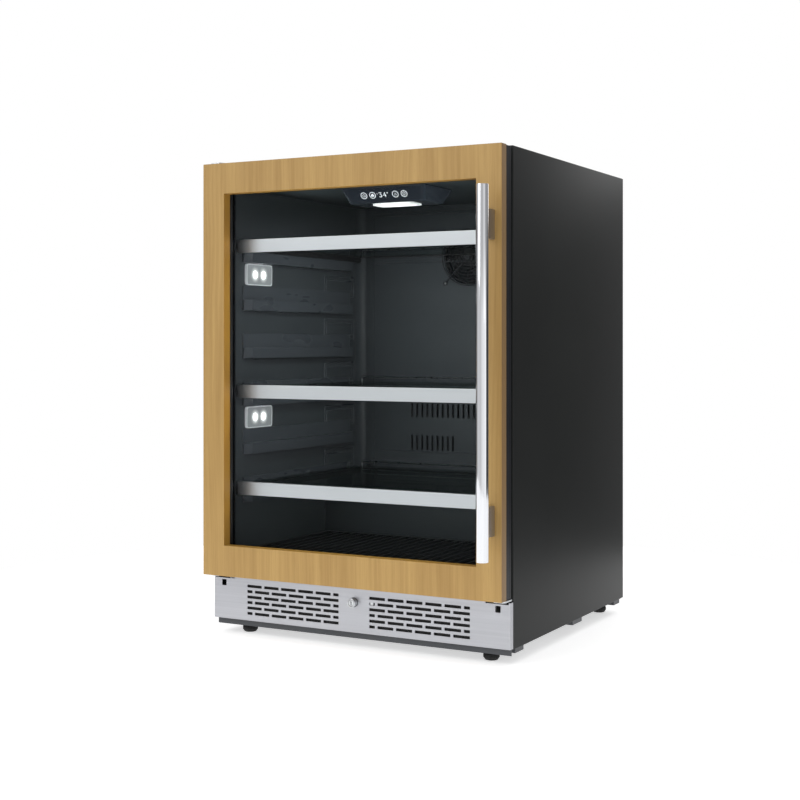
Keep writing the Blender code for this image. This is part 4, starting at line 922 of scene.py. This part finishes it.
def make_rotors():
    """Fan rotors with swept, twisted blades."""
    for prefix, axis, way in (("evaporator", "Y", FACING_Y), ("condenser", "X", FACING_X)):
        low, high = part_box(prefix + "_fan_rotor")
        centre = (low + high) / 2
        half = (high - low)["XYZ".index(axis)] / 2
        hub, tip = 0.02, (high.z - low.z) / 2 - 0.0012
        work = bmesh.new()
        add_turned(work, [
            (0, -half), (hub - 0.003, -half), (hub - 0.0008, -half + 0.0008), (hub, -half + 0.003),
            (hub, half - 0.0005), (0, half - 0.0005)], centre, axis, 40)
        for blade in range(7):
            rows = []
            for i in range(7):
                t = i / 6
                radius = hub - 0.001 + (tip - hub + 0.001) * t
                sweep = 2 * math.pi * blade / 7 + 0.3 * t * t
                chord, lift = 0.62 - 0.14 * t, (0.8 - 0.28 * t) * half
                points = []
                for side, s in [(1, j / 5) for j in range(6)] + [(-1, 1 - j / 5) for j in range(6)]:
                    turn = sweep + chord * (s - 0.5)
                    height = lift * (0.5 - s) * 2 * 0.9 + 0.0012 * math.sin(math.pi * s)
                    height += 0.0007 * side * math.sin(math.pi * (0.08 + 0.84 * s))
                    points.append((radius * math.cos(turn), radius * math.sin(turn), height))
                rows.append(row(work, points, Matrix.Translation(centre) @ way))
            skin(work, rows, ends=True)
        body = JOINTS[prefix + "_fan_spin"]["child"]
        part(prefix + "_rotor", work, "black_plastic", [prefix + "_fan_rotor"], sharp=45,
             body=body)


def make_rack():
    """The slotted floor rack: a rounded frame with round-topped bars."""
    low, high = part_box("floor_rack")
    rim, count = 0.01, 24
    rack = solid("rack_frame", fresh(
        add_prism, rounded(low.x, low.y, high.x, high.y, 0.01), low.z, high.z))
    hole = rounded(low.x + rim, low.y + rim, high.x - rim, high.y - rim, 0.004)
    combine(rack, fresh(add_prism, hole, low.z - 0.01, high.z + 0.01))
    piece(rack, "black_plastic", ["floor_rack"], 0.0016, 3)
    bars = bmesh.new()
    pitch = (high.x - low.x - 2 * rim) / (count + 1)
    for index in range(count):
        x = low.x + rim + pitch * (index + 1)
        add_prism(bars, rounded(x - 0.0042, low.z + 0.003, x + 0.0042, high.z - 0.0006, 0.003, 4),
                  low.y + 0.008, high.y - 0.008, FACING_Y)
    part("rack_bars", bars, "black_plastic")


def make_lamps():
    """Side lamps: a clear moulding with two lit discs behind it."""
    for side, sign in (("left", -1), ("right", 1)):
        for level in ("upper", "lower"):
            node = "%s_light_%s" % (side, level)
            low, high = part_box(node)
            wall, inner = (low.x, high.x) if sign < 0 else (high.x, low.x)
            deep = inner - wall
            bed_x, rise = wall + deep * 0.7, deep * 0.06
            y, z = (low.y + high.y) / 2, (low.z + high.z) / 2
            rim = rounded(low.y, low.z, high.y, high.z, 0.006)
            bed = rounded(low.y + 0.0016, low.z + 0.0016, high.y - 0.0016, high.z - 0.0016, 0.0045)
            lens = bmesh.new()
            skin(lens, [row(lens, [(x, a, b) for a, b in outline]) for outline, x in (
                (rim, wall), (rim, wall + deep * 0.94), (bed, inner), (bed, bed_x))], ends=True)
            part(node + "_lens", lens, "light_lens", [node])
            width, height = (high.y - low.y) / 2 - 0.002, (high.z - low.z) / 2 - 0.002
            plate = bmesh.new()
            add_prism(plate, rounded(-width, -height, width, height, 0.004), 0.0, rise, FACING_X)
            # The plate behind the spots wears a painted pool of light, not light from the spots.
            bed_plate = solid(node + "_bed", plate)
            bed_plate.location = (bed_x + rise * 0.2, y, z)
            piece(bed_plate, "light_lens", look="lamp_bed")
            spots = bmesh.new()
            for share in (-1, 1):
                add_turned(spots, [(0, rise * 2.6), (0.0045, rise * 2.4), (0.007, rise * 1.3),
                                   (0.007, 0), (0, 0)],
                           (bed_x + rise * 0.3, y + share * SPOT_APART, z), "X", 32)
            part(node + "_spots", spots, "light_lens", look="lamp_core")
            add_inner_light(node + "_light", (inner - sign * 0.004, y, z), (-sign, 0, 0), 0.04, 0.8)


def add_lamp(name, place_at, way, size, power):
    """A square area light that shines one way."""
    lamp = bpy.data.lights.new(name, "AREA")
    lamp.size, lamp.energy = size, power
    holder = bpy.data.objects.new(name, lamp)
    holder.location = place_at
    holder.rotation_euler = Vector(way).to_track_quat("-Z", "Y").to_euler()
    bpy.context.scene.collection.objects.link(holder)
    return holder


def add_inner_light(*settings):
    """The light that one of the refrigerator's lamps throws; the lamp itself is a lit piece."""
    light = add_lamp(*settings)
    light.visible_camera = light.visible_glossy = False


def make_housing():
    """Control housing under the ceiling: a shallow sloping tub with a lamp and a marked face."""
    low, high = HOUSING
    run, tail, flare, corner = 0.017, 0.02, 0.01, 0.008
    tub = solid("control_tub", fresh(
        add_prism, rounded(low.x, low.y, high.x, high.y, corner), high.z, low.z, FACING_Z,
        rounded(low.x + flare, low.y + run, high.x - flare, high.y - tail, corner)))
    lamp_low, lamp_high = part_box("ceiling_light")
    outline, hole = [rounded(
        lamp_low.x - gap, lamp_low.y - gap, lamp_high.x + gap, lamp_high.y + gap, radius)
        for gap, radius in ((0, 0.0055), (HAIR, 0.006))]
    combine(tub, fresh(add_prism, hole, low.z - 0.01, lamp_high.z + HAIR))
    piece(tub, "gloss_black_plastic", ["control_housing"], 0.0022, 4, sharp=25)
    part("ceiling_lamp", fresh(add_prism, outline, lamp_low.z, lamp_high.z), "light_lens",
         ["ceiling_light"], 0.0012, 3, look="lamp_strip")
    add_inner_light("ceiling_light", (0, (lamp_low.y + lamp_high.y) / 2, lamp_low.z - 0.002),
                    (0, 0.1, -1), 0.05, 1.4)
    make_panel(run, high.z - low.z)


def make_panel(run, rise):
    """The touch panel on the housing's front slope, with its ring marks and digits."""
    slope, length = math.atan2(run, rise), math.hypot(run, rise)
    up = Vector((0, -math.sin(slope), math.cos(slope)))
    out = Vector((0, -math.cos(slope), -math.sin(slope)))
    face = Matrix(((1, up.x, out.x, 0), (0, up.y, out.y, 0), (0, up.z, out.z, 0), (0, 0, 0, 1)))
    middle = (PANEL[0] + PANEL[1]) / 2
    half_h, half_w = length / 2 - 0.0042, PANEL[1].x
    glass = fresh(add_prism, rounded(-half_w, -half_h, half_w, half_h, 0.004), -0.0006, 0.0002,
                  Matrix.Translation(middle) @ face)
    part("touch_panel", glass, "panel_glass", ["control_panel"], 0.0002, 1)

    way = Matrix.Translation(middle + out * 0.00025) @ face
    thick, line, ring_line, stroke = 0.00012, 0.00062, 0.00085, 0.0011
    power, eject, alarm, lamp = -0.0405, -0.0225, 0.0245, 0.0425
    three, four, w, h = -0.006, 0.003, 0.0026, 0.0043

    def drawn(x, points):
        return [(x + a, b) for a, b in points]

    def arc(radius, rise_by, first, step, count):
        angles = [first + step * i for i in range(count)]
        return [(radius * math.sin(a), rise_by + radius * math.cos(a)) for a in angles]

    bulb = arc(0.0024, 0.0009, -2.3, 0.42, 12) + [(0.0009, -0.003), (-0.0009, -0.003)]
    digit = [(-w, h), (w, h), (-w * 0.1, h * 0.18), (w * 0.7, h * 0.02), (w, -h * 0.45),
             (w * 0.5, -h * 0.95), (-w * 0.5, -h * 0.98), (-w, -h * 0.7)]
    marks = bmesh.new()
    for x in (power, eject, alarm, lamp):
        add_ribbon(marks, circle(x, 0.0, 0.006), ring_line, thick, way, True)
    for outline in (((-0.0036, -0.0006), (0.0, 0.0034), (0.0036, -0.0006)),
                    ((-0.0036, -0.0024), (-0.0036, -0.0014), (0.0036, -0.0014), (0.0036, -0.0024))):
        add_prism(marks, drawn(eject, outline), 0.0, thick, way)
    for points, width, closed in (
            (drawn(power, arc(0.0026, 0, 0.7, 0.48, 11)), line, False),
            ([(power, 0.0036), (power, 0.0008)], line, False),
            (drawn(alarm, [(-0.0028, -0.0018), (0, 0.0026), (0.0028, -0.0018)]), line, True),
            (drawn(lamp, bulb), line, True),
            (drawn(three, digit), stroke, False),
            (drawn(four, [(w * 0.9, -h * 0.35), (-w * 1.1, -h * 0.35), (w * 0.3, h)]),
             stroke, False),
            (drawn(four, [(w * 0.35, h * 0.35), (w * 0.35, -h)]), stroke, False),
            (circle(0.0088, 0.0034, 0.0009, 12), 0.0005, True),
            ([(-0.0125, 0.0035), (-0.0125, 0.001)], line, False)):
        add_ribbon(marks, points, width, thick, way, closed)
    part("panel_marks", marks, "panel_glass", look="panel_mark")


# ---------------------------------------------------------------- kick plate, lock, base, feet
def make_kick_plate():
    low, high = KICK
    work = bmesh.new()
    add_block(work, low, high)
    round_edges(work, lambda a, b: max(a.y, b.y) < low.y + HAIR and abs(a.z - b.z) > HAIR,
                0.0014, 4)
    drop_faces(work, lambda f: f.normal.y > 0.9 or abs(f.normal.z) > 0.9)
    plate = solid("kick_face", work)
    thicken(plate, 0.0012, -1.0)
    holes = bmesh.new()
    y_low, y_high = low.y - 0.004, low.y + 0.004
    inner, margin, bridge, short, tall = 0.031, 0.0735, 0.0054, 0.011, 0.005
    long_slot = (high.x - margin - inner - short - 5 * bridge) / 5
    for left in (low.x + margin, inner):
        for index in range(6):
            z = high.z - 0.0118 - tall - index * 0.0099
            lengths = [long_slot] * 5
            lengths.insert(5 if index % 2 == 0 else 0, short)
            x = left
            for length in lengths:
                slot = rounded(x, z, x + length, z + tall, 0.0006, 2)
                add_prism(holes, slot, y_low, y_high, FACING_Y)
                x += length + bridge
    for side in (-1, 1):
        left, right = sorted((side * (high.x - 0.045), side * (high.x - 0.003)))
        add_block(holes, (left, y_low, high.z - 0.003), (right, y_high, high.z + 0.003))
        left, right = sorted((side * (high.x - 0.027), side * (high.x - 0.0175)))
        add_prism(holes, rounded(left, high.z - 0.017, right, high.z - 0.006, 0.0006, 2),
                  y_low, y_high, FACING_Y)
    barrel_low, barrel_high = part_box("lock_barrel")
    radius = (barrel_high.x - barrel_low.x) / 2 + HAIR
    add_turned(holes, [(0, y_low), (radius, y_low), (radius, y_high), (0, y_high)],
               (0, 0, (barrel_low.z + barrel_high.z) / 2), "Y", 40)
    combine(plate, holes)
    piece(plate, "stainless", ["kick_plate"], 0.00022, 2, sharp=40)
    make_slot_shade_filter(low, high)


def make_slot_shade_filter(low, high):
    """Ribbed near-black sheets behind the two fields of slots: painted shade seen through them."""
    count = 40
    work = bmesh.new()
    for side in (-1, 1):
        left, right = sorted((side * 0.0285, side * 0.227))
        add_block(work, (left, low.y + 0.0036, high.z - 0.069),
                  (right, low.y + 0.0044, high.z - 0.008))
        for index in range(count):
            x = left + 0.004 + index * (right - left - 0.008) / (count - 1)
            add_block(work, (x - 0.0006, low.y + 0.003, high.z - 0.068),
                      (x + 0.0006, low.y + 0.0037, high.z - 0.009))
    part("dust_filter", work, "black_plastic", edge=0.0002, steps=1, look="duct_black")


def make_lock():
    low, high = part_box("lock_barrel")
    z, outer, depth = (low.z + high.z) / 2, (high.x - low.x) / 2, high.y - low.y
    plug_low, plug_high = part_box("lock_plug")
    plug_r, length = (plug_high.x - plug_low.x) / 2, plug_high.y - plug_low.y
    rim = fresh(add_turned, [
        (plug_r + HAIR, 0.0006), (plug_r + 0.0008, 0.0), (outer - 0.0012, 0.0),
        (outer - 0.0004, 0.0004), (outer, 0.0012), (outer, 0.0034), (outer - 0.0004, 0.0038),
        (outer - 0.0004, depth), (plug_r + HAIR, depth)], (0, low.y, z), "Y", 48)
    part("lock_rim", rim, "zinc", ["lock_barrel"])
    plug = solid("lock_core", fresh(add_turned, [
        (0, 0.0005), (plug_r * 0.55, 0.0005), (plug_r * 0.62, 0.0002), (plug_r - 0.0005, 0.0002),
        (plug_r, 0.0008), (plug_r, length), (0, length)], (0, low.y, z), "Y", 40))
    for half, bottom, top, deep in (
            (0.0007, -0.0035, 0.0035, 0.006), (0.0016, 0.0012, 0.0023, 0.004)):
        combine(plug, fresh(add_block, (-half, low.y - 0.002, z + bottom),
                            (half, low.y + deep, z + top)))
    piece(plug, "zinc", ["lock_plug"], 0.0002, 1, body="lock")
    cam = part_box("lock_cam")
    half = (cam[1].z - cam[0].z) / 2
    outline = rounded(*inset_box(cam), half * 0.98, 6)
    tongue = fresh(add_prism, outline, cam[0].y, cam[1].y, FACING_Y)
    part("lock_tongue", tongue, "zinc", ["lock_cam"], 0.0003, 2, body="lock")


def make_hinges():
    low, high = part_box("top_hinge")
    pivot = Vector(JOINTS["door_hinge"]["pos_m"])
    sheet, lowered = 0.003, high.z - 0.0005
    pin = lowered - low.z
    plate = fresh(add_prism, [
        (low.x, high.y - 0.006), (low.x, pivot.y - 0.006), (low.x + 0.006, low.y),
        (low.x + 0.022, low.y), (low.x + 0.034, pivot.y + 0.016), (high.x - 0.006, pivot.y + 0.026),
        (high.x, pivot.y + 0.034), (high.x, high.y - 0.006), (high.x - 0.006, high.y),
        (low.x + 0.006, high.y)],
        high.z - sheet, lowered)
    pin_shape = [(0, 0), (0.0034, 0), (0.004, 0.0006), (0.004, pin - 0.001), (0, pin - 0.001)]
    add_turned(plate, pin_shape, (pivot.x, pivot.y, low.z), "Z", 28)
    part("top_hinge_plate", plate, "zinc", ["top_hinge"], 0.0005, 2)
    add_screws("top_hinge_screws", [(x, y, high.z - 0.0023) for x, y in (
        (low.x + 0.012, high.y - 0.012), (low.x + 0.036, high.y - 0.012),
        (high.x - 0.011, high.y - 0.024))], (0, 0, 1), 0.0044, 0.0022)
    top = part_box("spare_hinge")[1].z
    for name, toward in (("bottom_hinge", 1), ("spare_hinge", -1)):
        low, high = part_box(name)
        outer_x, inner_x = (low.x, high.x)[::toward]
        plan = [(outer_x + toward * x, y) for x, y in (
            (0, high.y), (0, low.y + 0.005), (0.005, low.y), (0.02, low.y),
            (0.032, high.y - 0.006))]
        plan += [(inner_x, high.y - 0.004), (inner_x, high.y)]
        plate = fresh(add_prism, plan, top - sheet, top)
        leg_x = outer_x + toward * 0.0275
        leg = [(leg_x, top - 0.001), (leg_x, low.z + 0.004), (leg_x + toward * 0.004, low.z),
               (inner_x - toward * 0.004, low.z), (inner_x, low.z + 0.004), (inner_x, top - 0.001)]
        add_prism(plate, leg, high.y - sheet, high.y, FACING_Y)
        if name == "bottom_hinge":
            pin = high.z - top
            add_turned(plate, [(0, 0), (0.004, 0), (0.004, pin - 0.0006), (0.0034, pin), (0, pin)],
                       (pivot.x, pivot.y, top), "Z", 28)
        part(name + "_plate", plate, "zinc", [name], 0.0004, 2)
        add_screws(name + "_screws", [
            (leg_x + (inner_x - leg_x) * share, high.y - sheet, low.z + 0.01)
            for share in (0.3, 0.72)], (0, -1, 0), 0.0042, 0.002)


def make_feet():
    """Levelling feet: a ribbed rubber pad on a threaded stud."""
    pad_h, sides, rib_depth = 0.0161, 72, 0.0007
    outline = ((0.0095, 0.0, 0), (0.011, 0.0006, 0), (0.0128, 0.0034, 1), (0.014, 0.0046, 1),
               (0.014, 0.0098, 1), (0.0132, 0.0112, 1), (0.0116, 0.0118, 0), (0.0104, 0.0122, 0),
               (0.01, pad_h, 0), (0.0052, pad_h, 0))
    for corner in ("front_left", "front_right", "rear_left", "rear_right"):
        name = corner + "_foot"
        low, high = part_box(name)
        x, y = (low.x + high.x) / 2, (low.y + high.y) / 2
        work = bmesh.new()
        rows = []
        for radius, height, ribbed in outline:
            points = []
            for i in range(sides):
                r = min(radius, (high.x - low.x) / 2) - (rib_depth if ribbed and i % 4 >= 2 else 0)
                turn = 2 * math.pi * i / sides
                points.append((x + r * math.cos(turn), y + r * math.sin(turn), height))
            rows.append(row(work, points))
        skin(work, rows, ends=True)
        part(name + "_pad", work, "foot_rubber", [name], body=name)
        stud = bmesh.new()
        height = 0.012
        profile = [(0, height)]
        while height < high.z - 0.0014:
            profile += [(0.0034, height), (0.004, height + 0.0005)]
            height += 0.001
        profile += [(0.0034, high.z - 0.0004), (0, high.z)]
        add_turned(stud, profile, (x, y, 0.0), "Z", 20)
        part(name + "_stud", stud, "zinc", body=name)


# ---------------------------------------------------------------- shelves
def make_shelves():
    wall, bend = 0.0015, 0.0012
    for name in SHELVES:
        body = name + "_shelf"
        low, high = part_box(body + "_trim")
        face, lip = low.y, high.y
        rail = fresh(add_prism, [
            (face + 0.0004, low.z), (face + wall, low.z), (face + wall, high.z - wall),
            (lip, high.z - wall), (lip, high.z - 0.0002), (face + bend, high.z),
            (face + 0.0003, high.z - 0.0004), (face, high.z - bend), (face, low.z + 0.0004)],
            low.x, high.x, FACING_X)
        part(body + "_rail", rail, "aluminium_trim", [body + "_trim"], 0.0003, 2, body=body)
        make_shelf_rails(body)
        low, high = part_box(body + "_glass")
        pane = fresh(add_prism, rounded(low.x, low.y, high.x, high.y, 0.004), low.z, high.z)
        part(body + "_pane", pane, "shelf_glass", [body + "_glass"], 0.0007, 2, body=body)


def make_shelf_rails(body):
    """The side rails under a shelf's glass, joined behind by a thin bar and a low wire."""
    low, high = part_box(body + "_frame")
    wide, under = 0.009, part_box(body + "_glass")[0].z - HAIR
    inner = high.x - wide
    work = bmesh.new()
    for side in (-1, 1):
        left, right = sorted((side * high.x, side * inner))
        add_prism(work, rounded(left, low.y, right, high.y - HAIR, 0.002, 3), low.z, under)
        left, right = sorted((side * inner, side * inner - side * 0.004))
        add_block(work, (left, low.y + 0.012, under - 0.0022), (right, high.y - 0.012, under))
    for near, far in ((high.y - 0.0052, high.y - 0.0006), (low.y, low.y + 0.004)):
        add_block(work, (-inner, near, under - 0.0024), (inner, far, under))
    part(body + "_rails", work, "shelf_frame_plastic", [body + "_frame"], 0.0005, 2, body=body)
    y, top, x = high.y - 0.0018, high.z - 0.0011, high.x - 0.012
    half = [(x - 0.003, y, top), (x - 0.001, y, top - 0.001), (x, y, top - 0.003),
            (x, y, under - 0.001)]
    wire = fresh(add_wire, [(-a, b, c) for a, b, c in reversed(half)] + half, 0.001, 8)
    part(body + "_stop_wire", wire, "zinc", body=body)


# ---------------------------------------------------------------- carried-over parts
def dress_nodes():
    """Every CAD part that still shows takes its slot's finish."""
    slots = {part["node"]: part["material_slot"] for part in frame["record"]["subparts"]}
    for name, node in frame["nodes"].items():
        if node.hide_render:
            continue
        node.data.materials.clear()
        node.data.materials.append(FINISHES[slots[name]])
        if name == "base_pan":
            soft = node.modifiers.new("edges", "BEVEL")
            soft.width, soft.segments = 0.0004, 2
            soft.limit_method, soft.angle_limit = "ANGLE", math.radians(40)


# ---------------------------------------------------------------- studio
# Brightness round the horizon: degrees from +X towards +Y, level
SKY = (
    (-180, 0.25), (-165, 0.35), (-150, 0.78), (-118, 0.78), (-95, 0.7), (-76, 0.95), (-56, 1.05),
    (-20, 1.1), (-11, 1.35), (3, 1.35), (13, 0.14), (25, 0.06), (64, 0.05), (71, 0.26), (90, 0.42),
    (130, 0.3), (180, 0.25))


def make_studio():
    scene = bpy.context.scene
    scene.view_settings.view_transform = "Standard"
    world = bpy.data.worlds.new("studio")
    scene.world = world
    world.use_nodes = True
    tree = world.node_tree
    tree.nodes.clear()
    place = Socket(tree).node("TexCoord", {}, {}, "Generated")
    turn = place.axis("Y").math("ARCTAN2", place.axis("Y"), place.axis("X")) * (0.5 / math.pi) + 0.5
    around = turn.node("ValToRGB", {"stops": [
        (0.5 + angle / 360, rgb(level, level, level)) for angle, level in SKY]}, {0: turn})
    band = place.axis("Z").between(0.14, 0.32)
    ahead = place.axis("Y").between(0.9, -0.9)
    dome = ahead.tint(rgb(0.26, 0.26, 0.26), rgb(0.62, 0.62, 0.62))
    level = band.tint(around, place.axis("Z").between(0.55, 0.95).tint(dome, rgb(0.8, 0.8, 0.8)))
    seen = place.node("LightPath", {}, {}, "Is Camera Ray")
    lit = place.node("Background", {}, {"Color": level, "Strength": 1.0})
    plain = place.node("Background", {}, {"Color": rgb(1, 1, 1), "Strength": 1.0})
    both = place.node("MixShader", {}, {0: seen, 1: lit, 2: plain})
    place.node("OutputWorld", {}, {"Surface": both})

    made, place = start("studio_floor")
    speckle = place.noise(3.0, 2.0).between(0.3, 0.7)
    surface(made, place, Base_Color=speckle.tint(rgb(0.9, 0.9, 0.9), rgb(0.92, 0.92, 0.92)),
            Roughness=0.9, Emission_Color=rgb(1, 1, 1), Emission_Strength=0.55)
    work = bmesh.new()
    add_prism(work, rounded(-1.15, -1.15, 1.15, 1.15, 1.1, 16), -0.02, 0.0)
    floor = solid("studio_floor", work)
    floor.data.materials.append(made)

    for name, place_at, target, size, power in (
            ("key", (-1.6, -3.0, 2.6), (0, -0.2, 0.4), 2.6, 44.0),
            ("fill", (2.8, -1.6, 1.7), (0, -0.1, 0.45), 1.6, 3.0),
            ("rear", (0.6, 2.8, 2.4), (0, 0.2, 0.5), 2.2, 30.0)):
        add_lamp(name, place_at, Vector(target) - Vector(place_at), size, power)


def make_camera():
    lens = bpy.data.cameras.new("camera")
    lens.sensor_width = 36.0
    lens.lens = 62.9
    lens.shift_y = -0.0721
    camera = bpy.data.objects.new("camera", lens)
    camera.location = (1.23, -2.3398, 0.5344)
    camera.rotation_euler = (math.radians(90), 0, math.radians(28.4))
    bpy.context.scene.collection.objects.link(camera)
    bpy.context.scene.camera = camera


make_studio()
make_camera()
make_wood_frame()
make_slab()
make_panes()
make_seal()
make_handle()
make_case()
make_back()
make_inlet()
make_liner()
make_duct_cover()
make_fan_guard()
make_rotors()
make_rack()
make_lamps()
make_housing()
make_kick_plate()
make_lock()
make_hinges()
make_feet()
make_shelves()
dress_nodes()

bpy.context.view_layer.update()
